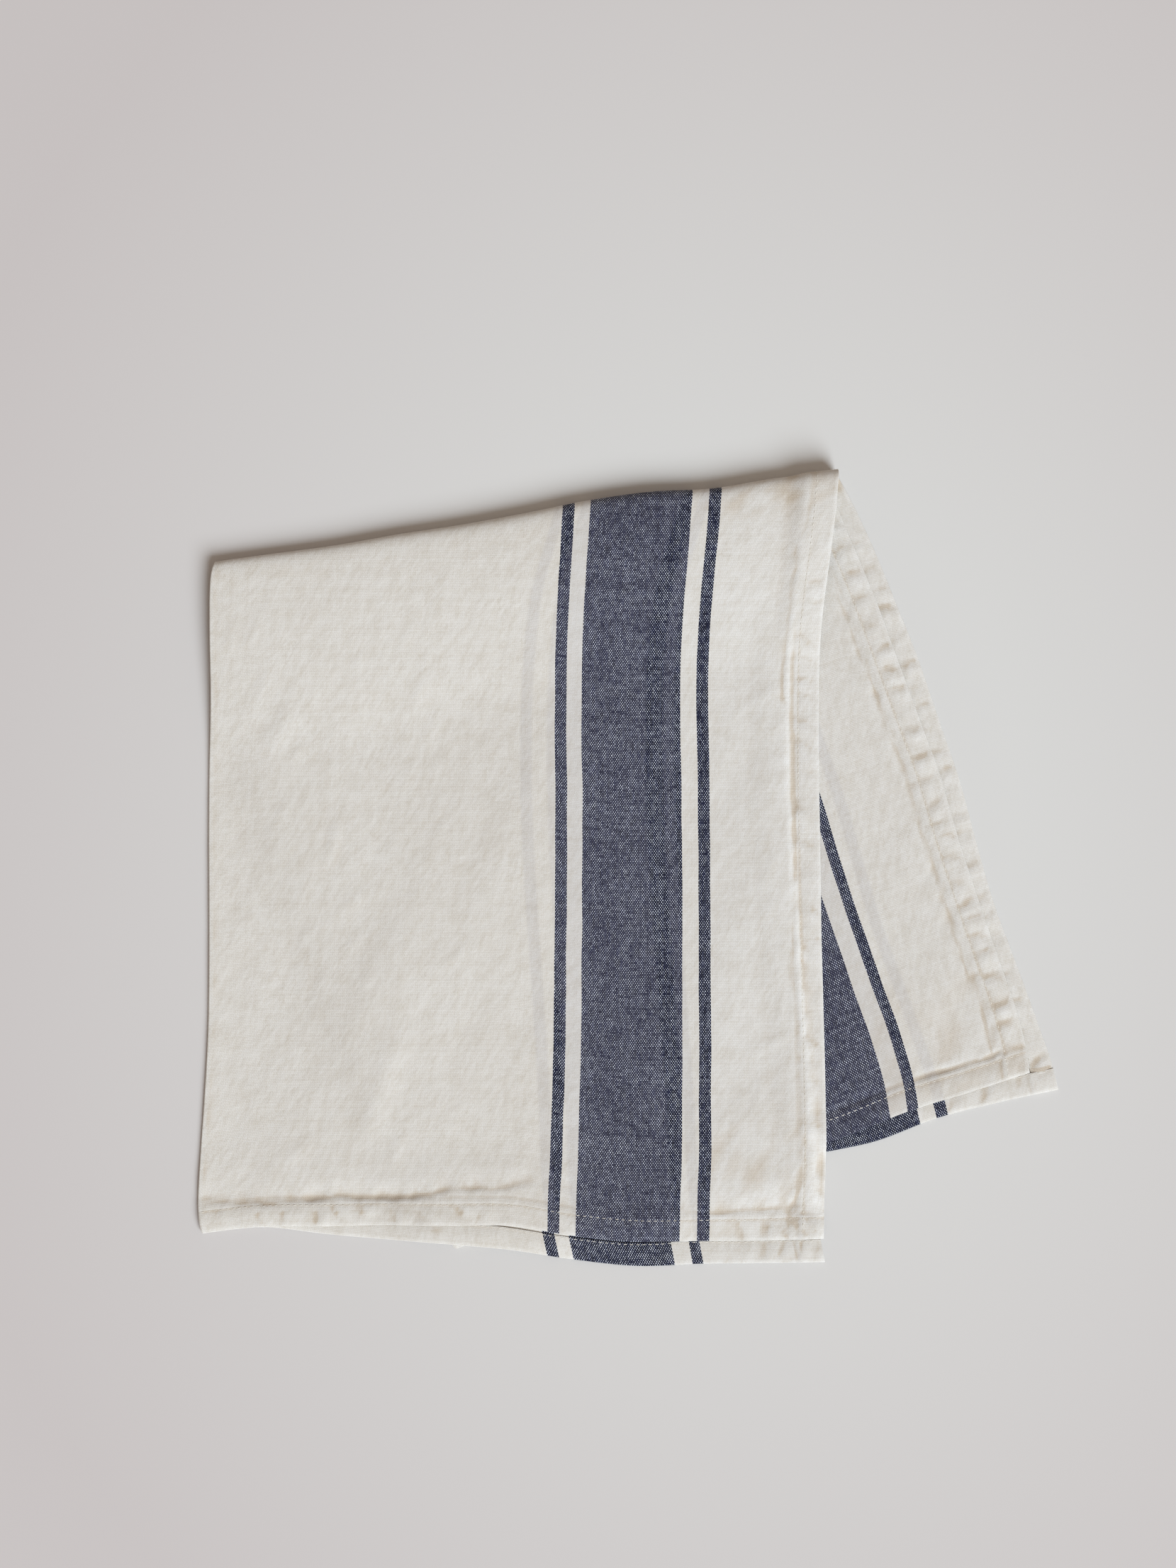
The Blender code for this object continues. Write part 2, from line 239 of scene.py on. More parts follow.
# the crease beside the front's side hem, up from its lower corner
FRONT_GROOVE = np.array((
    # along  from_edge  depth
    (0.0,   18.0, 0.30),
    (14.0,  17.2, 0.55),
    (20.0,  14.8, 0.70),
    (27.0,  12.5, 0.60),
    (45.0,  12.2, 0.40),
    (68.0,  12.2, 0.35),
    (107.0, 12.5, 0.30),
    (120.0, 13.0, 0.12),
    (127.0, 16.3, 0.22),
    (141.0, 14.4, 0.28),
    (155.0, 13.7, 0.34),
    (172.0, 13.4, 0.38),
    (189.0, 12.7, 0.42),
    (205.0, 12.7, 0.70),
    (227.0, 12.2, 0.34),
    (245.0, 12.4, 0.36),
    (256.0, 15.0, 0.12),
    (263.0, 18.4, 0.75),
    (272.0, 18.6, 0.65),
    (282.0, 17.9, 0.48),
    (303.0, 16.7, 0.38),
    (319.0, 17.2, 0.42),
    (326.5, 16.0, 0.42),
    (333.0, 17.5, 0.38),
    (342.0, 15.0, 0.36),
    (352.0, 13.0, 0.22),
    (365.0, 12.0, 0.30),
))

# tucks that the sewing pulled into the hems: along each from its corner
TUCKS = {
    "front_side": (318.3, 308.7, 289.1, 281.2, 270.2, 263.3, 249.5, 238.2,
                   226.2, 208.3, 191.1, 179.1, 160.5, 145.7, 137.8, 118.9,
                   94.8, 76.0, 55.3, 43.2, 24.0),
    "front_cross": (290.4, 271.8, 260.5, 245.0, 232.9, 220.0, 207.2, 193.4,
                    174.5, 165.9, 40.4, 28.3, 20.8, 11.2, 4.3),
    "under_cross": (207.0, 194.1, 185.5, 163.2, 41.1, 29.0, 21.5, 11.9, 3.0),
    "upper_side": (283.0, 270.5, 258.0, 245.2, 232.0, 219.0, 208.0, 198.5,
                   187.8, 176.5, 164.1, 152.6, 140.0, 130.6, 123.2, 111.0,
                   99.4, 89.0, 80.1, 71.0, 63.0, 50.0, 37.4, 27.4, 14.3),
    "lower_side": (283.0, 270.8, 260.0, 250.6, 235.9, 221.0, 208.3, 199.0,
                   186.9, 176.0, 166.5, 150.2, 141.0, 133.7, 117.0, 101.0,
                   91.3, 77.0, 62.0, 47.8, 31.0, 17.0),
    "lower_cross": (103.0, 88.0, 71.0, 52.0, 36.0, 19.0),
}
TUCK_SLANT = {
    # how far a tuck runs along its hem for each mm in from the edge
    "front_side": -0.45, "front_cross": -0.50, "under_cross": 0.50,
    "upper_side": -0.05, "lower_side": 0.10, "lower_cross": 0.40,
}
TUCK_RISE = {
    "front_side": 0.50, "front_cross": 0.70, "under_cross": 0.60,
    "upper_side": 0.68, "lower_side": 0.62, "lower_cross": 0.50,
}

# each layer's own unevenness, from broad to fine
RUMPLES = {
    # height  lean  along  across  seed
    "front": ((0.34, 74, 95, 38, 1),
              (0.17, 68, 40, 15, 2),
              (0.060, 66, 17, 7.5, 3),
              (0.034, 42, 12, 6.0, 4),
              (0.020, 70, 8.0, 4.2, 12)),
    "under": ((0.12, 70, 60, 26, 5),
              (0.05, 66, 20, 9.0, 6)),
    "upper": ((0.24, 66, 80, 30, 8),
              (0.13, 62, 34, 14, 9),
              (0.055, 58, 16, 8.0, 10),
              (0.022, 66, 8.0, 4.4, 13)),
    "lower": ((0.08, 60, 60, 24, 11),),
}

# -------------------------------------------------------------------- stripes
STRIPES = (
    # from_fold_low  from_fold_high
    (170.3, 176.0),
    (183.3, 231.9),
    (240.2, 245.6),
)
INNER_NEARER = 1.5       # the inner half's stripes, to the long fold
WARP_PITCH = 0.572
WEFT_PITCH = 0.82

# how far the weave lies left of an even spread, at the two narrow stripes
FRONT_DRIFT = np.array((
    # along   left  right
    (0.0,    2.8,  0.8),
    (12.0,   2.8,  0.8),
    (33.0,   2.5,  1.1),
    (81.0,   2.0,  1.1),
    (150.0,  0.8,  0.1),
    (219.0, -0.3, -0.3),
    (288.0,  1.0,  0.7),
    (329.0,  1.8,  1.5),
    (350.0,  1.8,  1.5),
))
UNDER_DRIFT = 2.3
BACK_DRIFT = np.array((
    # along  drift
    (0.0,  -1.0),
    (30.0, -0.9),
    (95.0,  0.1),
    (350.0, 0.0),
))


def drift(layer, from_fold, along):
    """Weave's shift towards the fold, none at the fold and at the hem."""
    if layer is FRONT_UPPER:
        left = straight(FRONT_DRIFT, along)
        right = straight(FRONT_DRIFT, along, 2)
    elif layer is FRONT_UNDER:
        left = right = UNDER_DRIFT * soft((350.0 - along) / 250.0)
    elif layer is BACK_UPPER:
        left = right = straight(BACK_DRIFT, along)
    else:
        left = right = 0.0 * along
    share = np.clip((from_fold - 173.0) / 70.0, 0.0, 1.0)
    ends = np.clip(from_fold / 150.0, 0.0, 1.0) \
        * soft((HALF - 12.0 - from_fold) / 40.0)
    return (left + (right - left) * share) * ends


# ----------------------------------------------------------------- mesh sizes
OUTER_CELLS = 138        # across the outer half, hem to fold
INNER_CELLS = 56
FRONT_CELLS = 122        # down the front, hem to top fold
BACK_CELLS = 124
BEND_CELLS = 8
UPPER_CELLS = 48
NOSE_CELLS = 14
LOWER_CELLS = 4
RETURN_STATIONS = (
    # from_edge  turned  tucked
    (8.7,  1.0, 1.0),
    (11.2, 1.0, 0.5),
    (10.9, 1.0, 0.0),
    (10.3, 1.0, 0.0),
    (8.6,  1.0, 0.0),
    (6.4,  1.0, 0.0),
    (4.2,  1.0, 0.0),
    (2.0,  1.0, 0.0),
    (0.25, 1.0, 0.0),
    (0.07, 0.854, 0.0),
    (0.0,  0.5, 0.0),
    (0.07, 0.146, 0.0),
)
MAIN_STATIONS = (0.25, 2.0, 4.2, 6.4, 8.6, 9.6, 10.3, 11.2, 12.1, 13.1, 14.2,
                 15.2, 16.2, 17.2, 18.3, 19.6, 21.2)


def soft(x):
    x = np.clip(x, 0.0, 1.0)
    return x * x * (3.0 - 2.0 * x)


def mix(a, b, t):
    return a + (b - a) * t


def hill(x):
    """1 at 0, falling away to both sides."""
    return np.exp(-x ** 2)


def look_up(table, share, column):
    """A column of a table at a share, along a smooth curve."""
    xs, ys = table[:, 0], table[:, column]
    share = np.clip(share, xs[0], xs[-1])
    slopes = np.gradient(ys, xs)
    k = np.clip(np.searchsorted(xs, share, side="right") - 1, 0, len(xs) - 2)
    h = xs[k + 1] - xs[k]
    t = (share - xs[k]) / h
    t2, t3 = t * t, t * t * t
    return ((2 * t3 - 3 * t2 + 1) * ys[k] + (t3 - 2 * t2 + t) * h * slopes[k]
            + (3 * t2 - 2 * t3) * ys[k + 1] + (t3 - t2) * h * slopes[k + 1])


def straight(table, at, column=1):
    """A column of a table at a place, along straight lines."""
    return np.interp(at, table[:, 0], table[:, column])


# ------------------------------------------------------------- steady noise
LATTICE = np.random.RandomState(7).uniform(0.0, 2.0 * math.pi, (256, 256))


def noise(x, y, seed=0):
    """Gradient noise, about -1 to 1, one lump a unit."""
    x = x + seed * 17.31
    y = y + seed * 9.77
    xi, yi = np.floor(x).astype(int), np.floor(y).astype(int)
    xf, yf = x - xi, y - yi
    fade_x = xf * xf * xf * (xf * (xf * 6 - 15) + 10)
    fade_y = yf * yf * yf * (yf * (yf * 6 - 15) + 10)

    def corner(i, j):
        turn = LATTICE[(xi + i) % 256, (yi + j) % 256]
        return np.cos(turn) * (xf - i) + np.sin(turn) * (yf - j)
    low = mix(corner(0, 0), corner(1, 0), fade_x)
    high = mix(corner(0, 1), corner(1, 1), fade_x)
    return mix(low, high, fade_y) * 1.6


def leaning(x, y, lean, along, across, seed):
    """Noise drawn out along a lean, in degrees from +X."""
    c, s = math.cos(math.radians(lean)), math.sin(math.radians(lean))
    return noise((x * c + y * s) / along, (y * c - x * s) / across, seed)


# ------------------------------------------------------------------ the plan
CORNER = (-205.0, -180.0)   # near the long fold's lower end
UNPLAN_TURNS = 14


def plan(layer, width, up):
    """Point on the floor at a share of the width and of the height."""
    if layer.part == "front":
        fold_x = look_up(FRONT_SIDES, up, 1)
        side_x = look_up(FRONT_SIDES, up, 2)
        shifts, column = FRONT_SIDES, 3
    else:
        fold_x = mix(BACK_FOLD[0], TOP_FOLD[0], up)
        side_x = look_up(BACK_SIDES, up, 1)
        shifts, column = BACK_SIDES, 2
    # how far the inner half lies from the outer one, along the width
    shift = 0.0 if layer.outer else \
        look_up(shifts, up, column) * soft(width * 2.4)
    fold_y = mix(layer.fold_y, TOP_FOLD[1], up)
    side_y = mix(layer.side_y, TOP_SIDE_Y, up)
    low = np.maximum(0.0, 1.0 - up)
    across = side_x - fold_x
    bend = (look_up(EDGE_BENDS, width, layer.bend) * low * low
            + look_up(EDGE_BENDS, width + shift / across, 1) * up * up)
    return (mix(fold_x, side_x, width) + shift,
            mix(fold_y, side_y, width) + shift * (side_y - fold_y) / across
            + bend)


def run(layer, width):
    """Length of a strip from its cross edge to the top fold."""
    x0, y0 = plan(layer, width, np.zeros_like(width))
    x1, y1 = plan(layer, width, np.ones_like(width))
    return np.hypot(x1 - x0, y1 - y0)


def unplan(layer, x, y):
    """Width and height shares of the strip point at a place on the floor."""
    high = LENGTH / 2.0
    width = np.clip((x - CORNER[0]) / HALF, 0.0, 1.0)
    up = np.clip((y - CORNER[1]) / high, 0.0, 1.0)
    for _ in range(UNPLAN_TURNS):
        px, py = plan(layer, width, up)
        width = width + (x - px) / HALF
        up = up + (y - py) / high
    return width, up


# ---------------------------------------------------------------- the heights
CELL = 1.0
LOW_X, LOW_Y = -235.0, -215.0
GRID_X, GRID_Y = 471, 431
DRAWN_X, DRAWN_Y = 640, 700  # points of a layer drawn into the raster


def sample(raster, x, y):
    fx = np.clip((x - LOW_X) / CELL, 0.0, GRID_X - 1.001)
    fy = np.clip((y - LOW_Y) / CELL, 0.0, GRID_Y - 1.001)
    ix, iy = fx.astype(int), fy.astype(int)
    tx, ty = fx - ix, fy - iy
    return mix(mix(raster[iy, ix], raster[iy, ix + 1], tx),
               mix(raster[iy + 1, ix], raster[iy + 1, ix + 1], tx), ty)


def ease(raster, reach):
    """What a cloth lying over a raster spans: it falls off steps softly."""
    steps = int(math.ceil(reach / CELL))
    padded = np.pad(raster, steps, mode="edge")
    grown = raster.copy()
    for dy in range(-steps, steps + 1):
        for dx in range(-steps, steps + 1):
            if dx * dx + dy * dy <= (reach / CELL) ** 2:
                grown = np.maximum(grown, padded[
                    steps + dy:steps + dy + GRID_Y,
                    steps + dx:steps + dx + GRID_X])
    sigma = reach * 0.42 / CELL
    taps = int(math.ceil(3.0 * sigma))
    weights = np.exp(-0.5 * (np.arange(-taps, taps + 1) / sigma) ** 2)
    weights /= weights.sum()
    for axis in (0, 1):
        wide = np.pad(grown, [(taps, taps) if k == axis else (0, 0)
                              for k in (0, 1)], mode="edge")
        size = grown.shape[axis]
        grown = sum(w * np.take(wide, range(k, k + size), axis=axis)
                    for k, w in enumerate(weights))
    return grown


def loft(from_edge):
    """Thickness of the turned hem, out to nothing past its end."""
    return straight(HEM_LOFT, from_edge) \
        * (1.0 - soft((from_edge - HEM) / 3.4))


def zone(from_edge):
    """1 on a hem, 0 beyond it."""
    return 1.0 - soft((from_edge - HEM) / 2.0)


def puckers(layer, hem, along, from_edge, marks=False):
    """Rise of a stitched hem's tucks, and the uneven loft between them.

    Or, with marks, their painted light: painted shade above 0 in a tuck's
    hollow, painted highlight below 0 on its puff.
    """
    name = layer.hem + "_" + hem
    seed = layer.seed + (7 if hem == "cross" else 0)
    rise = TUCK_RISE.get(name, 0.3)
    slant = TUCK_SLANT.get(name, 0.3)
    reach = np.interp(from_edge, (0.0, 1.5, 5.0, 8.0, 10.3, 13.0, 19.0),
                      (0.30, 0.75, 1.0, 0.85, 0.45, 0.42, 0.0))
    here = along + 1.7 * noise(from_edge / 6.0, along / 20.0, seed + 5)
    total = np.zeros_like(along * from_edge)
    painted_mark = np.zeros_like(total)
    puff_highlight = np.zeros_like(total)
    rng = np.random.RandomState(seed * 7 + len(name))
    for at in TUCKS.get(name, ()):
        lean = slant + rng.uniform(-0.35, 0.35)
        middle, half = rng.uniform(2.0, 11.0), rng.uniform(3.2, 7.5)
        high, wide = rng.uniform(0.45, 1.30), rng.uniform(0.75, 1.35)
        off = (here + lean * (from_edge - 5.0) - at) / wide
        high = high * hill((from_edge - middle) / half)
        ridge = np.where(off > -3.0, 2.4, 4.4)
        total = total + high * (0.70 * hill((off + 3.0) / ridge)
                                - 0.50 * hill(off / 1.45))
        painted_mark = np.maximum(painted_mark, high * hill((off + 0.3) / 1.25))
        puff_highlight = np.maximum(puff_highlight, high * hill((off + 3.4) / ridge))
    # painted shade in the tucks' hollows, painted highlight on their puffs
    if marks:
        patchy = 0.75 + 0.9 * noise(from_edge / 3.5, here / 12.0, seed + 9)
        return reach * rise * (1.5 * painted_mark * np.clip(patchy, 0.0, 1.4)
                               - 0.55 * puff_highlight)
    rough = (noise(here / 9.0, from_edge / 15.0, seed)
             + 0.6 * noise(here / 4.6, from_edge / 10.0, seed + 3))
    return reach * rise * (total + 0.34 * rough)


def waver(along, size, seed, off=0.0):
    """Noise one way only, a lump to each size."""
    return noise(along / size, 0.0 * along + off, seed)


def jag(along, seed):
    """A crease wanders from thread to thread."""
    return 0.55 * waver(along, 6.0, seed + 40) \
        + 0.35 * waver(along, 2.9, seed + 41)


def patch(along, seed):
    """And is deeper here than there."""
    return 0.95 + 0.75 * waver(along, 5.2, seed + 42)


def hem_groove(from_edge, along, centre, seed):
    """The hollow just inside a gathered hem, steep on the hem's side."""
    at = from_edge - centre - 1.1 * waver(along, 17.0, seed) \
        - jag(along, seed)
    wide = np.where(at < 0.0, 1.1, 2.6) * patch(along, seed)
    deep = 0.30 + 0.75 * waver(along, 19.0, seed + 1, 3.0)
    return np.clip(deep * patch(along, seed + 2), 0.0, 0.9) \
        * hill(at / wide)


def front_groove(from_edge, along, line=False):
    """The crease beside the front's side hem; with line, the band where painted
    shade darkens it.
    """
    deep = straight(FRONT_GROOVE, along, 2)
    at = from_edge - straight(FRONT_GROOVE, along) - jag(along, 3)
    if line:
        return deep * np.clip(patch(along, 6), 0.0, 1.5) \
            * hill((at + 0.4) / 0.85)
    wide = np.where(at < 0.0, 1.7, 2.4)
    return 0.58 * deep * patch(along, 4) * hill(at / wide)


def hem_heights(layer, side, cross):
    """Side hem's, cross hem's and whole stack's height over the ply."""
    by_side = loft(side) + puckers(layer, "side", cross, side)
    by_cross = loft(cross) + puckers(layer, "cross", side, cross)
    in_side, in_cross = zone(side), zone(cross)
    by_side = np.maximum(by_side, HEM_LEAST * in_side)
    by_cross = np.maximum(by_cross, HEM_LEAST * in_cross)
    crossed = by_cross + 2.0 * LAP * in_side
    whole = mix(by_side + (1.0 - in_side) * by_cross, crossed, in_cross)
    return by_side, by_cross, whole


def leaning_spots(table, x, y):
    """Each spot of a table, with its place along and across its lean."""
    for row in table:
        cx, cy, length, width, lean, height = row
        c, s = math.cos(math.radians(lean)), math.sin(math.radians(lean))
        yield (height, ((x - cx) * c + (y - cy) * s) / length,
               ((y - cy) * c - (x - cx) * s) / width)


def swell(x, y):
    return sum(height * np.exp(-along * along - across * across)
               for height, along, across in leaning_spots(SWELLS, x, y))


def creases(x, y):
    return sum(height * np.exp(-along ** 4 - across * across)
               for height, along, across in leaning_spots(CREASES, x, y))


def kink(x, y):
    """The trough above the bottom hem."""
    above = y - straight(FRONT_KINK, x) - 1.2 * jag(x, 7)
    reach = np.where(above > 0.0, 5.2, 1.4)
    return -1.25 * straight(FRONT_KINK, x, 2) * patch(x, 8) \
        * hill(above / reach)


def rumples(table, x, y):
    return sum(height * leaning(x, y, *grain) for height, *grain in table)


def relief(layer, x, y):
    """Rumples of a layer's own, on top of what it lies on."""
    own = rumples(RUMPLES[layer.hem], x, y)
    if layer is FRONT_UPPER:
        return 0.6 * swell(x, y) + 2.4 * creases(x, y) + kink(x, y) + own
    if layer is FRONT_UNDER:
        return 0.8 * swell(x, y) + own
    return own + (0.26 if layer is BACK_UPPER else 0.10)


def painted_bend_shade(place):
    """Painted shade and highlight from the finished surface: how sharply it
    bends upwards, 1 / mm, above 0 in hollows and below 0 on ridges, with more
    painted shade where it slopes away from the key light.
    """
    total = np.zeros(place.shape[:2])
    shade = np.zeros(place.shape[:2])
    for axis in (0, 1):
        grid = place if axis == 0 else place.transpose(1, 0, 2)
        step = np.maximum(np.linalg.norm(np.diff(grid, axis=0), axis=2), 0.4)
        steep = np.diff(grid[:, :, 2], axis=0) / step
        bend = np.zeros(grid.shape[:2])
        bend[1:-1] = 2.0 * np.diff(steep, axis=0) / (step[1:] + step[:-1])
        total = total + (bend if axis == 0 else bend.T)
        # painted shade where the surface rises towards the key light, so faces
        # away from it
        way = np.diff(grid[:, :, :2], axis=0) / step[:, :, None]
        lean = np.zeros(grid.shape[:2])
        lean[1:] = steep * (0.56 * way[:, :, 0] - 0.83 * way[:, :, 1])
        shade = shade + (lean if axis == 0 else lean.T)
    total = np.clip(total, -0.25, 0.25) \
        + 0.35 * np.clip(shade - 0.05, 0.0, 0.30)
    eased = total.copy()
    eased[1:-1, 1:-1] = (2.0 * total[1:-1, 1:-1] + total[:-2, 1:-1]
                         + total[2:, 1:-1] + total[1:-1, :-2]
                         + total[1:-1, 2:]) / 6.0
    return eased


RESTS = {}


def build_rests():
    """What each layer lies on, from the floor up."""
    wide, high = np.meshgrid(np.linspace(0.0, 1.0, DRAWN_X),
                             np.linspace(0.0, 1.0, DRAWN_Y))
    top = np.zeros((GRID_Y, GRID_X))
    for layer in LAYERS:
        RESTS[layer] = ease(top, layer.reach) if layer.reach else top + REST
        x, y = plan(layer, wide, high)
        z, stack = layer_height(layer, wide, high, x, y)
        z = z if layer.hem_below else z + stack
        ix = np.rint((x - LOW_X) / CELL).astype(int)
        iy = np.rint((y - LOW_Y) / CELL).astype(int)
        top = top.copy()
        np.maximum.at(top, (iy.ravel(), ix.ravel()), z.ravel())


def layer_height(layer, width, up, x, y):
    """A layer's main ply, and its hem stack's height there."""
    side = (1.0 - width) * HALF
    cross = up * run(layer, width)
    corner = np.minimum(side, cross)
    whole = hem_heights(layer, side, cross)[2]
    stand = layer.clear + relief(layer, x, y)
    if layer.hem_below:
        stand = stand * (0.50 + 0.50 * soft(corner / 16.0))
    if layer is BACK_LOWER:
        stand = stand + 0.40 * soft((corner - HEM) / 1.5)
    if layer is FRONT_UNDER:
        stand = stand + 0.35 * soft((cross - HEM) / 1.5) \
            * (1.0 - soft((cross - 24.0) / 22.0))
    z = sample(RESTS[layer], x, y) + stand
    if layer is BACK_UPPER:
        z = z - hem_groove(side, cross, 15.7, 25) * soft((cross - 8.0) / 8.0)
        z = z - hem_groove(cross, side, 13.6, 26) * soft((side - 6.0) / 8.0) \
            * (1.0 - soft((side - 110.0) / 30.0))
    if layer is FRONT_UPPER:
        z = z - front_groove(side, cross)
    if layer.hem_below:
        z = z + FOLD_LOFT * np.exp(-(width * HALF) / 7.0) + whole
    return z, whole


build_rests()


# ------------------------------------------------------- the columns and rows
def columns():
    """Across the cloth: from_fold, turned, tucked, outer, turn."""
    wide = HALF - MAIN_STATIONS[-1]
    hem = [(HALF - d, turned, tucked) for d, turned, tucked in RETURN_STATIONS]
    hem += [(HALF - d, 0.0, 0.0) for d in MAIN_STATIONS]
    inner = [wide - (wide - 2.5) * ((k + 1) / INNER_CELLS) ** 1.55
             for k in range(INNER_CELLS)]
    outer = [wide - (wide - 1.8) * (k + 1) / OUTER_CELLS
             for k in range(OUTER_CELLS)]
    found = [(a, w, t, False, -90.0) for a, w, t in hem]
    found += [(a, 0.0, 0.0, False, -90.0) for a in inner]
    for k in range(BEND_CELLS + 1):
        turn = mix(-90.0, 90.0, k / BEND_CELLS)
        found.append((0.0, 0.0, 0.0, turn >= 0.0, turn))
    found += [(a, 0.0, 0.0, True, 90.0) for a in reversed(outer)]
    found += [(a, w, t, True, 90.0) for a, w, t in reversed(hem)]
    return np.array(found)


Row = namedtuple("Row", "kind from_edge turned tucked share")


def down_rows():
    """Rows from the front's cross edge round to the back's."""
    hem = list(RETURN_STATIONS) + [(d, 0.0, 0.0) for d in MAIN_STATIONS]

    def hem_rows(kind):
        return [Row(kind, d, w, t, 0.0) for d, w, t in hem]

    def stretch(kind, cells):
        return [Row(kind, MAIN_STATIONS[-1], 0.0, 0.0, (k + 1) / cells)
                for k in range(cells)]
    back = hem_rows("back") + stretch("back", BACK_CELLS)[:-1]
    return (hem_rows("front") + stretch("front", FRONT_CELLS)
            + stretch("upper", UPPER_CELLS) + stretch("nose", NOSE_CELLS)
            + stretch("lower", LOWER_CELLS) + back[::-1])


COLS = columns()
ROWS = down_rows()
N_COL, N_ROW = len(COLS), len(ROWS)


# ------------------------------------------------------------------- the folds
class Strip:
    """One half of the columns, and the size of the top fold along them."""

    def __init__(self, outer):
        self.pick = np.where(COLS[:, 3].astype(bool) == outer)[0]
        self.from_fold, self.turned, self.tucked, turn = (
            COLS[self.pick, k][None, :] for k in (0, 1, 2, 4))
        self.outer = outer
        self.sign = 1.0 if outer else -1.0
        self.turn = np.radians(turn)
        self.width = self.from_fold / HALF
        self.side = HALF - self.from_fold
        self.near_fold = self.from_fold < 0.5
        self.near_hem = soft((self.from_fold - (HALF - 24.0)) / 10.0)
        self.layers = {layer.part: layer for layer in LAYERS
                       if layer.outer == outer}
        self.mates = {layer.part: layer for layer in LAYERS
                      if layer.outer != outer}
        self.runs = {part: run(layer, self.width)
                     for part, layer in self.layers.items()}
        self.nose_run = look_up(TOP_LOOP, self.width, 1) \
            + 0.30 * waver(self.from_fold, 13.0, 51) \
            + 0.22 * waver(self.from_fold, 5.0, 52)
        self.nose_rise = look_up(TOP_LOOP, self.width, 2)
        self.half_nose = 0.5 * (PLY_FRONT + 1.9 * self.near_hem) \
            + 0.35 * (1.0 - self.width)
        self.low_mid = REST + self.half_nose + 0.15
        self.top_mid = self.low_mid + 2.0 * self.nose_rise

    def from_top(self, row, length):
        """A row's distance from the top fold, along the cloth."""
        if row.kind == "upper":
            return mix(LOOP_FRONT, self.nose_run, row.share)
        if row.kind == "nose":
            flat = abs(math.cos(nose_angle(row))) ** NOSE_SQUARE
            return self.nose_run * (1.0 - flat)
        if row.kind == "lower":
            return mix(self.nose_run, LOOP_BACK, row.share)
        end = LOOP_FRONT if row.kind == "front" else LOOP_BACK
        return length - mix(row.from_edge, length - end, row.share)

    def hem_offset(self, layer, row, down):
        """How far a ply lies off its main one, towards the wrong side."""
        by_side, by_cross, _ = hem_heights(layer, self.side, down)
        return (self.turned * (1.0 - row.turned) * by_side
                + row.turned * (by_cross + LAP * zone(self.side)
                                * (2.0 - self.turned))
                - TUCK * np.maximum(self.tucked, row.tucked))

    def lie(self, layer, up, x, y, offset):
        """Height where it lies flat, the fold's middle, and its draw in x."""
        here = layer_height(layer, self.width, up, x, y)[0]
        mate = layer_height(self.mates[layer.part], self.width, up, x, y)[0]
        middle = (here + mate) / 2.0
        half = np.abs(here - mate) / 2.0
        swing = np.sin(self.turn) * (1.0 if layer.part == "front" else -1.0)
        z = np.where(self.near_fold, middle + half * swing, here) \
            + (-offset if layer.hem_below else offset)
        draw = np.where(self.near_fold, half * (1.0 - np.cos(self.turn)),
                        half * (1.0 - self.width)
                        * np.exp(-self.from_fold / 60.0)) \
            - 0.35 * np.exp(-self.from_fold / 12.0)
        return z, middle, draw

    def nose(self, row):
        """Middle height and outward way on the top fold's round."""
        angle = nose_angle(row)
        sine = math.sin(angle)
        flank = abs(math.cos(angle)) ** (2.0 - NOSE_SQUARE)
        crown = math.copysign(abs(sine) ** (2.0 - NOSE_SQUARE), sine)
        level = 1.0 + math.copysign(abs(sine) ** NOSE_SQUARE, sine)
        size = np.hypot(flank * self.nose_rise, crown * self.nose_run)
        return (self.low_mid + self.nose_rise * level,
                -flank * self.nose_rise / size, crown * self.nose_run / size)

    def swollen(self, q, middle):
        """The same where the front swells towards the fold, and its swing."""
        span = LOOP_FRONT - self.nose_run
        swing = math.pi * np.clip((q - self.nose_run) / span, 0.0, 1.0)
        lift = self.top_mid - middle
        slope = -lift * np.sin(swing) / 2.0 * math.pi / span
        size = np.hypot(1.0, slope)
        return (middle + lift * (1.0 + np.cos(swing)) / 2.0,
                -slope / size, 1.0 / size, swing)

    def drawn(self, q, down, x, y, swing):
        """The front's relief on the swell, drawn flatter to the fold."""
        total = (2.4 * creases(x, y) - front_groove(self.side, down)
                 + puckers(FRONT_UPPER, "side", down, self.side)
                 * self.near_hem
                 + 0.10 * leaning(x, y, 68, 40, 15, 2)
                 + rumples(RUMPLES["front"][2:], x, y))
        return total * (0.75 + 0.25 * np.cos(swing)) \
            * soft((q - self.nose_run) / 14.0)

    def point(self, layer, row, q, down):
        """The cloth's point in a row of each column."""
        up = down / self.runs[layer.part]
        x, y = plan(layer, self.width, up)
        offset = self.hem_offset(layer, row, down)
        z_flat, middle, draw = self.lie(layer, up, x, y, offset)
        # both corners of the long fold are rounded
        ends = q if row.kind in ("upper", "nose") else down
        draw = draw + 1.7 * np.exp(-self.from_fold / 5.0) \
            * np.exp(-np.abs(ends) / 4.0)

        reach = self.half_nose * np.where(self.near_fold, np.sin(self.turn),
                                          self.sign) - self.sign * offset
        if row.kind == "nose":
            mid, out_q, out_z = self.nose(row)
            loop, to_back = 1.0, float(soft(row.share))
        elif layer.part == "front":
            mid, out_q, out_z, swing = self.swollen(q, middle)
            loop, to_back = soft((LOOP_FRONT - q) / 40.0), 0.0
            if self.outer:
                reach = reach + self.drawn(q, down, x + draw, y, swing)
        else:
            mid, out_q, out_z = self.low_mid, 0.0, -1.0
            loop = soft((LOOP_BACK - q) / (LOOP_BACK - self.nose_run))
            to_back = 1.0
        q_now = mix(q, q + out_q * reach, loop)
        (fx, fy), (bx, by) = (
            plan(self.layers[part], self.width, 1.0 - q_now / self.runs[part])
            for part in ("front", "back"))
        return (mix(fx, bx, to_back) + draw, mix(fy, by, to_back),
                mix(z_flat, mid + out_z * reach, loop))

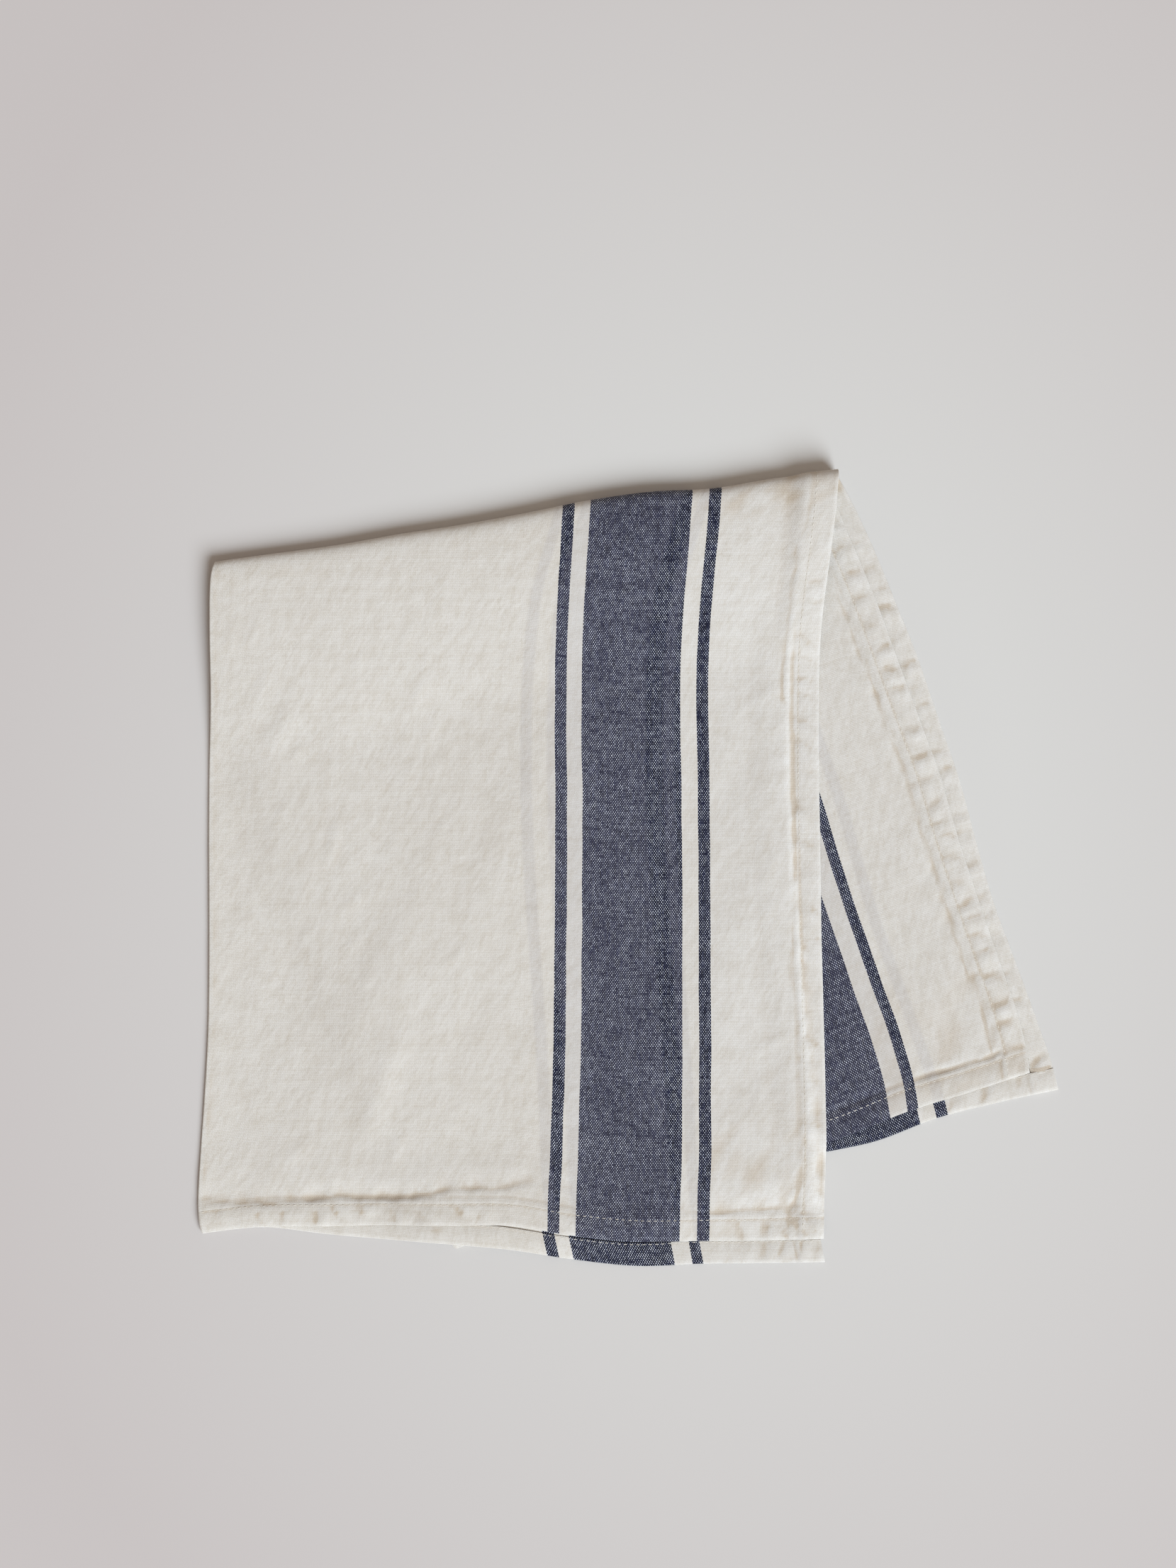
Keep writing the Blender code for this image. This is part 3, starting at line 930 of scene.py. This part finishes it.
    def marks(self, layer, row, q, down, x, y):
        """Painted light: above 0 painted shade in tucks, creases, along the
        long fold, near the bottom hems and on the top fold's band; below 0
        painted highlight on puffs.
        """
        side = self.side
        # painted shade in the hems' tucks, painted highlight on their puffs
        painted_mark = 0.27 * (puckers(layer, "side", down, side, True)
                       + 1.15 * puckers(layer, "cross", side, down, True))
        # painted shade along the side crease's darkest line, inside the long
        # fold's rounded edge, and on small crumples near the corner of the side
        # and bottom hems
        if layer is FRONT_UPPER:
            fold_shade = hill((self.from_fold - 1.8) / 1.6)
            shade_patches = waver(down, 13.0, 17)
            spots = leaning(x, y, 62, 17, 7.0, 21)
            painted_mark = painted_mark + 0.26 * front_groove(side, down, True) \
                + 0.13 * fold_shade * np.clip(0.6 + 0.9 * shade_patches, 0.0, 1.2) \
                + 0.10 * soft((80.0 - down) / 45.0) \
                * soft((95.0 - side) / 50.0) \
                * np.clip(0.35 + 1.1 * spots, 0.0, 1.3)
        # painted shade, patchy, near the back upper's bottom hem
        if layer is BACK_UPPER and row.kind == "back":
            spots = leaning(x, y, 60, 26, 11.0, 19)
            painted_mark = painted_mark + 0.10 * soft((75.0 - down) / 45.0) \
                * np.clip(0.5 + spots, 0.0, 1.3)
        # painted shade on the top fold's band, more towards its side-hem end
        if row.kind in ("upper", "nose"):
            spots = leaning(x, y, 35, 13, 5.5, 15)
            painted_mark = painted_mark + (0.06 + 0.13 * soft((self.width - 0.70) / 0.2)) \
                * (1.0 - soft((q - 4.0) / 18.0)) \
                * np.clip(0.55 + 1.1 * spots, 0.0, 1.4)
        # painted shadow line along the inner edge of the lower back's bottom
        # hem, near its corner
        if layer is BACK_LOWER and row.turned == 0.0:
            painted_mark = painted_mark + 0.7 * (side < 14.0) * (side > 1.0) \
                * hill((down - HEM - 0.5) / 0.9)
        return painted_mark

    def cloth_u(self, layer, down):
        """Place across the flat cloth."""
        beyond = np.where(self.turned > 0.0, -self.side - TURN * self.turned,
                          self.side)
        beyond = np.where(self.tucked > 0.4, -2.0 * HEM + self.side - TURN,
                          beyond)
        return HALF + self.sign * np.where(
            self.near_fold, 0.35 * abs(self.turn) / 1.57,
            HALF - beyond + drift(layer, self.from_fold, down))

    def beneath(self, layer, x, y):
        """Place in the flat cloth of the ply beneath, and 1 if there is one."""
        length = self.runs[layer.part]
        if layer is FRONT_UPPER:
            width, up = unplan(FRONT_UNDER, x, y)
            u, v = HALF - width * HALF, up * length
        else:
            width, up = unplan(BACK_LOWER, x, y)
            u, v = HALF + width * HALF, LENGTH - up * length
        return u, v, ((width < 1.0) & (up > 0.0)) * 1.0


def nose_angle(row):
    return math.radians(mix(90.0, -90.0, row.share))


def cloth_v(row, down):
    """Distance from the cross edge in the flat cloth."""
    if row.tucked > 0.4:
        return -2.0 * HEM + row.from_edge - TURN
    if row.turned > 0.0:
        return -row.from_edge - TURN * row.turned
    return down[0]


def run_round(place, flat):
    """Cloth length along the front, round the fold, and down the back."""
    kinds = [row.kind for row in ROWS]
    last_front = max(k for k, kind in enumerate(kinds) if kind == "front")
    first_back = kinds.index("back")
    steps = np.linalg.norm(np.diff(place, axis=0), axis=2)
    for r in range(last_front + 1, first_back):
        flat[r, :, 1] = flat[r - 1, :, 1] + steps[r - 1]
    begin = flat[first_back - 1, :, 1] + steps[first_back - 1]
    gap = LENGTH - flat[first_back, :, 1] - begin
    flat[first_back, :, 1] = begin
    for r in range(first_back + 1, N_ROW):
        d = flat[r, :, 1]
        flat[r, :, 1] = LENGTH - d - gap * soft((d - 40.0) / (begin - 40.0))


def cloth_grid():
    """Every grid point, its cloth place, the ply beneath it, and its painted
    shade and highlight.
    """
    place = np.zeros((N_ROW, N_COL, 3))
    flat = np.zeros((N_ROW, N_COL, 2))
    below = np.zeros((N_ROW, N_COL, 3))
    painted_light = np.zeros((N_ROW, N_COL))
    for strip in (Strip(False), Strip(True)):
        pick = strip.pick
        for r, row in enumerate(ROWS):
            part = "back" if row.kind in ("back", "lower") else "front"
            layer = strip.layers[part]
            q = strip.from_top(row, strip.runs[part])
            down = strip.runs[part] - q
            x, y, z = strip.point(layer, row, q, down)
            place[r, pick] = np.stack((x[0], y[0], z[0]), axis=1)
            painted_light[r, pick] = strip.marks(layer, row, q, down, x, y)[0]
            flat[r, pick, 0] = strip.cloth_u(layer, down)[0]
            if row.kind in ("front", "back"):
                flat[r, pick, 1] = cloth_v(row, down)
            if layer.hem_below:
                for k, values in enumerate(strip.beneath(layer, x, y)):
                    below[r, pick, k] = values[0]
    run_round(place, flat)
    painted_light += painted_bend_shade(place)
    place[:, :, :2] -= CENTRE
    return place, flat, below, painted_light


GRID, FLAT, BELOW, PAINTED_LIGHT = cloth_grid()


# ------------------------------------------------------------------- the mesh
def add_thing(name, verts, faces, smooth=True):
    """A mesh object in the scene, from points in metres."""
    mesh = bpy.data.meshes.new(name)
    mesh.from_pydata(verts, [], faces)
    mesh.update()
    if smooth:
        mesh.shade_smooth()
    thing = bpy.data.objects.new(name, mesh)
    bpy.context.scene.collection.objects.link(thing)
    return thing


BEYOND = 16.0            # cloth turned over past an edge, at most
BAKE_MARGIN = 0.004


def spread_out(values, middle, share, whole):
    """Piecewise-straight map that gives seen parts more of the bake."""
    return np.interp(values, (-BEYOND, middle, whole + BEYOND),
                     (BAKE_MARGIN, share, 1.0 - BAKE_MARGIN))


def make_cloth():
    j, i = np.meshgrid(np.arange(N_ROW - 1), np.arange(N_COL - 1),
                       indexing="ij")
    a = (j * N_COL + i).ravel()
    quads = np.stack([a, a + 1, a + 1 + N_COL, a + N_COL], axis=1)
    thing = add_thing("tea_towel", (GRID * MM).reshape(-1, 3).tolist(),
                      quads.tolist())
    flat = FLAT.reshape(-1, 2)
    maps = {
        "cloth": flat * MM,
        "beneath": BELOW[:, :, :2].reshape(-1, 2) * MM,
        "OFBake": np.stack([
            spread_out(flat[:, 0], HALF, 0.37, 2.0 * HALF),
            spread_out(flat[:, 1], 372.0, 0.60, LENGTH)], axis=1),
    }
    for name, coords in maps.items():
        layer = thing.data.uv_layers.new(name=name)
        layer.data.foreach_set("uv", coords[quads.ravel()].astype(
            np.float32).ravel())
    # the painted shade and highlight go to the material as a point attribute
    for name, values in (("beneath_share", BELOW[:, :, 2]),
                         ("painted_light", PAINTED_LIGHT)):
        attribute = thing.data.attributes.new(name, "FLOAT", "POINT")
        attribute.data.foreach_set("value",
                                   values.astype(np.float32).ravel())
    return thing


# ------------------------------------------------------------------- stitches
def seam_lines():
    """Grid lines the hems are sewn along: points, mates, cloth distance."""
    skip = len(RETURN_STATIONS)
    main = skip + MAIN_STATIONS.index(SEAM)
    back = [s[0] for s in RETURN_STATIONS].index(SEAM)
    lines = []
    for grid, along in ((GRID.transpose(1, 0, 2), FLAT[:, :, 1].T),
                        (GRID, FLAT[:, :, 0])):
        last = len(grid) - 1
        for at, mate in ((main, back), (last - main, last - back)):
            lines.append([whole[skip:-skip] for whole
                          in (grid[at], grid[mate], along[at])])
    return lines


def along_line(marks, along, line):
    return np.stack([np.interp(marks, along, line[:, c]) for c in range(3)],
                    axis=1)


def unit(vector):
    return vector / (np.linalg.norm(vector, axis=-1, keepdims=True) + 1e-9)


def stitch_rings(points, mates):
    """Rings of points round one stitch, sunk into the cloth at its ends."""
    out = unit(points - mates)
    points = points + out * np.array(STITCH_LIFT)[:, None]
    forward = unit(points[-1] - points[0])
    aside = unit(np.cross(forward, out[1]))
    upward = np.cross(aside, forward)
    turns = [2.0 * math.pi * m / STITCH_SIDES for m in range(STITCH_SIDES)]
    return [point + thick * (math.cos(turn) * aside
                             + STITCH_FLAT * math.sin(turn) * upward)
            for point, thick in zip(points, STITCH_THICK) for turn in turns]


def make_stitches():
    sides, rings = STITCH_SIDES, len(STITCH_THICK)
    shape = [(s * sides + m, s * sides + (m + 1) % sides,
              (s + 1) * sides + (m + 1) % sides, (s + 1) * sides + m)
             for s in range(rings - 1) for m in range(sides)]
    shape += [tuple(reversed(range(sides))),
              tuple(range((rings - 1) * sides, rings * sides))]
    verts, faces = [], []
    rng = np.random.RandomState(5)
    for main, turned, along in seam_lines():
        for line, mate in ((main, turned), (turned, main)):
            first = int(math.ceil(along[0] / STITCH))
            for k in range(first, int(along[-1] // STITCH)):
                ends = [(k + end + 0.04 * rng.uniform(-1, 1)) * STITCH
                        for end in STITCH_ENDS]
                marks = np.linspace(*ends, rings)
                faces += [tuple(len(verts) + m for m in face)
                          for face in shape]
                verts += stitch_rings(along_line(marks, along, line),
                                      along_line(marks, along, mate))
    return add_thing("hem_stitches", (np.array(verts) * MM).tolist(), faces)


# ------------------------------------------------------------------ materials
def sum_of(operation, turned=False):
    """Operator that adds a node for a sum of two fields or numbers."""
    def work_out(field, other):
        pair = (other, field) if turned else (field, other)
        return field.nodes.math(operation, *pair)
    return work_out


class Field:
    """What a node puts out, to write sums with."""

    def __init__(self, nodes, socket):
        self.nodes = nodes
        self.socket = socket

    __add__ = sum_of("ADD")
    __radd__ = sum_of("ADD", True)
    __sub__ = sum_of("SUBTRACT")
    __rsub__ = sum_of("SUBTRACT", True)
    __mul__ = sum_of("MULTIPLY")
    __rmul__ = sum_of("MULTIPLY", True)
    __truediv__ = sum_of("DIVIDE")
    __mod__ = sum_of("MODULO")
    __gt__ = sum_of("GREATER_THAN")
    __lt__ = sum_of("LESS_THAN")

    def __abs__(self):
        return self.nodes.math("ABSOLUTE", self)

    def __floor__(self):
        return self.nodes.math("FLOOR", self)


class Nodes:
    """A new material's nodes, written as sums of fields."""

    def __init__(self, name):
        self.material = bpy.data.materials.new(name)
        self.material.use_nodes = True
        self.tree = self.material.node_tree
        self.tree.nodes.clear()

    def add(self, kind, inputs, output=0, **settings):
        node = self.tree.nodes.new(kind)
        for name, value in settings.items():
            setattr(node, name, value)
        for key, value in inputs.items():
            self.put(node.inputs[key], value)
        return Field(self, node.outputs[output])

    def put(self, socket, value):
        if isinstance(value, Field):
            self.tree.links.new(value.socket, socket)
        elif isinstance(value, tuple):
            socket.default_value = value
        else:
            socket.default_value = float(value)

    def math(self, operation, *values):
        return self.add("ShaderNodeMath", dict(enumerate(values)),
                        operation=operation)

    def mix(self, share, a, b, blend="MIX"):
        return self.add("ShaderNodeMix", {0: share, 6: a, 7: b}, 2,
                        data_type="RGBA", blend_type=blend)

    def tint(self, share, base, color):
        return self.mix(share, base, self.mix(1.0, base, color, "MULTIPLY"))

    def vector(self, x, y, z=0.0):
        return self.add("ShaderNodeCombineXYZ", {0: x, 1: y, 2: z})

    def split(self, vector):
        return [self.add("ShaderNodeSeparateXYZ", {0: vector}, axis)
                for axis in range(2)]

    def uv(self, name):
        """Place in a flat map, in mm."""
        return [axis * 1000.0 for axis in self.split(
            self.add("ShaderNodeUVMap", {}, uv_map=name))]

    def attribute(self, name):
        return self.add("ShaderNodeAttribute", {}, "Fac", attribute_name=name)

    def random(self, x, y, z):
        return self.add("ShaderNodeTexWhiteNoise",
                        {"Vector": self.vector(x, y, z)}, "Value",
                        noise_dimensions="3D")

    def cloud(self, vector, scale=1.0, detail=2.0, rough=0.5):
        return self.add("ShaderNodeTexNoise",
                        {"Vector": vector, "Scale": scale, "Detail": detail,
                         "Roughness": rough}, noise_dimensions="3D")

    def cloud_on(self, x, y, layer=0.0, detail=2.0, rough=0.5):
        return self.cloud(self.vector(x, y, layer), 1.0, detail, rough)

    def ramp(self, value, low, high, to_low=0.0, to_high=1.0):
        return self.add("ShaderNodeMapRange",
                        dict(enumerate((value, low, high, to_low, to_high))),
                        interpolation_type="LINEAR", clamp=True)

    def step_in(self, value, low, high, blur):
        """1 between low and high, over a blur at each end."""
        return self.ramp(value, low - blur, low + blur) \
            * self.ramp(value, high - blur, high + blur, 1.0, 0.0)

    def bump(self, height, strength, distance, **under):
        return self.add("ShaderNodeBump",
                        {"Strength": strength, "Distance": distance,
                         "Height": height, **under})

    def surface(self, base, roughness, **normal):
        """The shader with its output, to set its constants on."""
        made = self.add("ShaderNodeBsdfPrincipled",
                        {"Base Color": base, "Roughness": roughness,
                         **normal})
        self.add_output(made)
        return made.socket.node

    def add_output(self, shader):
        node = self.tree.nodes.new("ShaderNodeOutputMaterial")
        self.put(node.inputs["Surface"], shader)


WHITE = (0.775, 0.751, 0.715, 1.0)
# the white ground's darker end, partly painted shade between threads
WHITE_SHADE = (0.600, 0.545, 0.468, 1.0)
NAVY = (0.0030, 0.0036, 0.0150, 1.0)
NAVY_WORN = (0.008, 0.012, 0.050, 1.0)
DOT_LOW = (0.530, 0.580, 0.710, 1.0)
DOT = (0.840, 0.890, 0.980, 1.0)
# painted shade for the stitch holes
STITCH_HOLE_SHADE = (0.56, 0.49, 0.38, 1.0)
SHOW_THROUGH = (0.22, 0.21, 0.29, 1.0)
# tints over the cloth's own colour
COOL = (1.015, 1.026, 1.044, 1.0)
# painted shade for hollows and creases
PAINTED_SHADE = (0.800, 0.710, 0.600, 1.0)
# painted highlight for puffs and ridges
PAINTED_HIGHLIGHT = (1.035, 1.045, 1.060, 1.0)
SIDE_HEM = (1.012, 1.010, 1.008, 1.0)
CROSS_HEM = (0.880, 0.850, 0.800, 1.0)
THREAD = ((0.70, 0.655, 0.575, 1.0), (0.80, 0.77, 0.71, 1.0))
LEAN_COS, LEAN_SIN = 0.906, 0.423    # the small creases lean by 25 degrees


def cloth_material():
    n = Nodes("woven_linen")
    u, v = n.uv("cloth")

    # threads wander a little
    warp = (u + (n.cloud_on(u * 0.05, v * 0.028) - 0.5) * 1.1) / WARP_PITCH
    weft = (v + (n.cloud_on(u * 0.02, v * 0.05, 5.0) - 0.5) * 1.6) \
        / WEFT_PITCH
    warp_no, weft_no = math.floor(warp), math.floor(weft)
    # 1 where the warp is on top
    parity = (warp_no + weft_no + 2000.0) % 2.0
    # the threads are rounded at the crossings
    warp_bow = n.math("SINE", (warp - warp_no) * math.pi)
    weft_bow = n.math("SINE", (weft - weft_no) * math.pi)
    over = parity * weft_bow + (1.0 - parity) * warp_bow

    # navy warps
    middle = (warp_no + 0.5) * WARP_PITCH
    from_fold = abs(middle - HALF) + INNER_NEARER * (middle < HALF)
    in_stripe = sum((from_fold > low) * (from_fold < high)
                    for low, high in STRIPES)
    not_striped = 1.0 - in_stripe

    # unevenness: each crossing, each thread, slubs and clouds
    crossing = n.random(warp_no, weft_no, 1.0)
    warp_thread = n.random(warp_no, 3.0, 2.0)
    weft_thread = n.random(7.0, weft_no, 3.0)
    slub = n.cloud_on(warp_no * 0.9, v * 0.16, 2.0)
    weft_slub = n.cloud_on(u * 0.10, weft_no * 0.9, 6.0)
    clouds = n.cloud_on(u * 0.22, v * 0.42, 4.0, 3.0)
    washed = n.cloud_on(u * 0.028, v * 0.036, 14.0, 3.0)
    grain = n.cloud_on(u * 0.80, v * 0.90, 17.0, 1.0, 0.7)
    nub = n.ramp(n.cloud_on(u * 0.42, v * 0.55, 23.0, 1.0), 0.735, 0.800)
    knot = n.random(math.floor(warp * 0.5), math.floor((weft + 0.5) * 0.5),
                    4.0)

    # dots of white weft: their size and brightness vary
    dot_size = nub * 0.3
    for field, weight in ((clouds, 0.34), (crossing, 0.12), (grain, 0.42),
                          (knot, 0.40), (weft_thread, 0.14),
                          (warp_thread, 0.09), (washed, 0.34)):
        dot_size = dot_size + (field - 0.5) * weight
    dot = n.ramp(warp_bow * weft_bow + dot_size, 0.60, 0.74) * (1.0 - parity)
    dot_tone = 0.10 + (crossing + weft_slub) * 0.62
    striped = n.mix(dot, n.mix(n.ramp(slub, 0.35, 0.75), NAVY, NAVY_WORN),
                    n.mix(dot_tone, DOT_LOW, DOT))

    # white ground: painted shade in the soft gaps between threads, and its own
    # slubs, streaks and veins
    open_weave = n.ramp(n.cloud_on(u * 0.060, v * 0.075, 41.0, 3.0),
                        0.42, 0.62)
    lean = u * LEAN_COS - v * LEAN_SIN
    rise = u * LEAN_SIN + v * LEAN_COS
    streak = n.ramp(n.cloud_on(lean * 0.30, rise * 0.10, 9.0, 4.0, 0.6),
                    0.30, 0.60, 0.0, 0.24)
    vein = n.cloud_on(lean * 0.150, rise * 0.060, 31.0, 4.0, 0.6)
    vein = n.ramp(abs(vein - 0.5), 0.0, 0.026, 1.0, 0.0) \
        * n.ramp(washed, 0.42, 0.62)
    # painted shade: darker between the threads' crowns
    tone = over * (0.26 + open_weave * 0.26) + streak
    for field, weight in ((crossing, 0.07), (open_weave, -0.13),
                          (weft_thread, 0.08), (warp_thread, 0.05),
                          (clouds, 0.10), (washed, 0.20), (weft_slub, 0.12),
                          (vein, -0.15), (grain - 0.5, 0.34)):
        tone = tone + field * weight
    white = n.mix(n.ramp(tone, 0.20, 0.86), WHITE_SHADE, WHITE)
    base = n.mix(in_stripe, white, striped)

    # a little bluer between the stripes and on to the side hem
    cool = n.ramp(from_fold, 173.0, 179.0) * n.ramp(v, 300.0, 420.0, 1.0, 0.5)
    base = n.tint(cool * not_striped, base, COOL)

    # painted shade: hollows, creases and slopes turned from the key are tinted
    # warmer and darker, more between the threads; painted highlight lightens
    # puffs and ridges
    painted_level = n.attribute("painted_light") + (clouds - 0.5) * 0.06
    hollow_shade = n.ramp(painted_level, 0.010, 0.200) * (1.15 - over * 0.55)
    base = n.tint(hollow_shade * not_striped, base, PAINTED_SHADE)
    puff_highlight = n.ramp(painted_level, -0.16, -0.02, 1.0, 0.0)
    base = n.tint(puff_highlight * not_striped, base, PAINTED_HIGHLIGHT)

    # side hems are two cloths deep and a little whiter; cross hems are tinted
    # beige; painted shade marks the stitch holes
    near_side, near_end = (
        n.math("MAXIMUM", near, near * -1.0 - TURN)
        for near in (n.math("MINIMUM", place, far - place)
                     for place, far in ((u, 2.0 * HALF), (v, LENGTH))))
    side_hem = n.ramp(near_side, 9.8, 12.6, 1.0, 0.0)
    end_hem = n.ramp(near_end, 9.8, 14.5, 1.0, 0.0) \
        * n.ramp(v, 300.0, 400.0, 1.0, 0.45)
    base = n.tint(side_hem, base, SIDE_HEM)
    # cross hems tinted beige, patchy, more on the front's end
    base = n.tint(end_hem * (0.04 + washed * 0.26), base, CROSS_HEM)
    # painted shade in the stitch holes, and faintly along the whole seam line
    seam_shade = []
    for near, place in ((near_side, v), (near_end, u)):
        line = n.ramp(abs(near - SEAM), 0.22, 0.50, 1.0, 0.0)
        phase = n.math("FRACT", (place + 30.0 * STITCH) / STITCH)
        gap = n.ramp(abs(phase - 0.5), 0.34, 0.44)
        seam_shade.append(line * (0.02 + gap * 0.11))
    base = n.mix(n.math("MAXIMUM", *seam_shade) * not_striped, base, STITCH_HOLE_SHADE)

    # the layer beneath shows through, softly
    under_fold = abs(n.uv("beneath")[0] - HALF)
    under = sum(n.step_in(under_fold, low, high, 0.7)
                for low, high in STRIPES)
    under = under * n.attribute("beneath_share") * (0.60 + clouds * 0.8)
    base = n.mix(under * 0.115, base, SHOW_THROUGH)

    # threads stand up in the bump, over finest crumples
    height = over * 0.6 + (weft_slub + clouds) * 0.5 + crossing * 0.25
    crinkle = n.cloud_on(lean * 0.30, rise * 0.18, 21.0, 4.0, 0.62)
    bump = n.bump(crinkle, 1.0, 0.00022,
                  Normal=n.bump(height, 0.5, 0.00012))

    shader = n.surface(base, n.ramp(crossing, 0.0, 1.0, 0.84, 0.94),
                       Normal=bump)
    shader.inputs["Specular IOR Level"].default_value = 0.25
    shader.inputs["Sheen Weight"].default_value = 0.12
    shader.inputs["Sheen Roughness"].default_value = 0.6
    return n.material


def thread_material():
    n = Nodes("sewing_thread")
    where = n.add("ShaderNodeTexCoord", {}, "Object")
    tone = n.cloud(where, 900.0)
    base = n.mix((tone + n.cloud(where, 60.0)) * 0.5, *THREAD)
    shader = n.surface(base, n.ramp(tone, 0.0, 1.0, 0.55, 0.75),
                       Normal=n.bump(tone, 0.4, 0.00005))
    shader.inputs["Specular IOR Level"].default_value = 0.3
    return n.material


# ------------------------------------------------------------------ the piece
towel = make_cloth()
towel.data.materials.append(cloth_material())
stitches = make_stitches()
stitches.data.materials.append(thread_material())

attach(towel, "root")
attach(stitches, "root")
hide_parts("towel")

# ------------------------------------------------------------ floor and light
# the floor is painted lighter round the towel and darker away from it: a
# painted pool of light, and painted shade far off
FLOOR_IN_POOL = (0.728, 0.720, 0.706, 1.0)
FLOOR_POOL_RIM = (0.630, 0.588, 0.582, 1.0)
FLOOR_FAR_SHADE = (0.380, 0.340, 0.310, 1.0)
FLOOR_SIZE = 20.0
FLOOR_CELLS = 8
LIT_POOL_AT = (0.055, 0.03)  # the middle of the floor's palest part
LIT_POOL_SIZE = (0.36, 0.44)
WORLD = 0.330
WORLD_TINT = (1.0, 0.84, 0.71, 1.0)
KEY_POWER = 7000.0
KEY_TINT = (0.895, 0.985, 1.055)
KEY_FROM = (10.6, -15.9, 14.9)
KEY_SIZE = 16.5
CAMERA_AT = (-0.019385, 0.040775, 1.07)
FRAME_HIGH = 0.7628      # of the floor, from top to bottom of the view
SENSOR = 36.0


def make_floor():
    side = np.linspace(-FLOOR_SIZE / 2, FLOOR_SIZE / 2, FLOOR_CELLS + 1)
    verts = [(x, y, 0.0) for y in side for x in side]
    wide = FLOOR_CELLS + 1
    faces = [(j * wide + i, j * wide + i + 1,
              (j + 1) * wide + i + 1, (j + 1) * wide + i)
             for j in range(FLOOR_CELLS) for i in range(FLOOR_CELLS)]
    thing = add_thing("floor", verts, faces, smooth=False)
    n = Nodes("floor")
    where = n.split(n.add("ShaderNodeTexCoord", {}, "Object"))
    east, north = ((axis - at) / size
                   for axis, at, size in zip(where, LIT_POOL_AT, LIT_POOL_SIZE))
    far = n.math("SQRT", east * east + north * north)
    # painted pool of light round the towel, then painted shade far out
    tone = n.mix(n.ramp(far, 0.37, 1.15), FLOOR_IN_POOL, FLOOR_POOL_RIM)
    tone = n.mix(n.ramp(far, 1.8, 8.5), tone, FLOOR_FAR_SHADE)
    shader = n.surface(tone, 0.8)
    shader.inputs["Specular IOR Level"].default_value = 0.15
    thing.data.materials.append(n.material)


def make_light():
    light = bpy.data.lights.new("key", "AREA")
    light.shape = "DISK"
    light.size = KEY_SIZE
    light.energy = KEY_POWER
    light.color = KEY_TINT
    lamp = bpy.data.objects.new("key", light)
    lamp.location = KEY_FROM
    lamp.rotation_mode = "QUATERNION"
    lamp.rotation_quaternion = (-Vector(KEY_FROM)).to_track_quat("-Z", "Y")
    bpy.context.scene.collection.objects.link(lamp)
    world = bpy.data.worlds.new("room")
    world.use_nodes = True
    back = world.node_tree.nodes["Background"]
    back.inputs["Color"].default_value = WORLD_TINT
    back.inputs["Strength"].default_value = WORLD
    bpy.context.scene.world = world


def make_camera():
    data = bpy.data.cameras.new("camera")
    data.sensor_fit = "VERTICAL"
    data.sensor_height = SENSOR
    data.sensor_width = SENSOR
    data.lens = SENSOR * CAMERA_AT[2] / FRAME_HIGH
    data.clip_start, data.clip_end = 0.05, 20.0
    camera = bpy.data.objects.new("camera", data)
    camera.location = CAMERA_AT
    bpy.context.scene.collection.objects.link(camera)
    bpy.context.scene.camera = camera


make_floor()
make_light()
make_camera()
bpy.context.scene.view_settings.view_transform = "Standard"
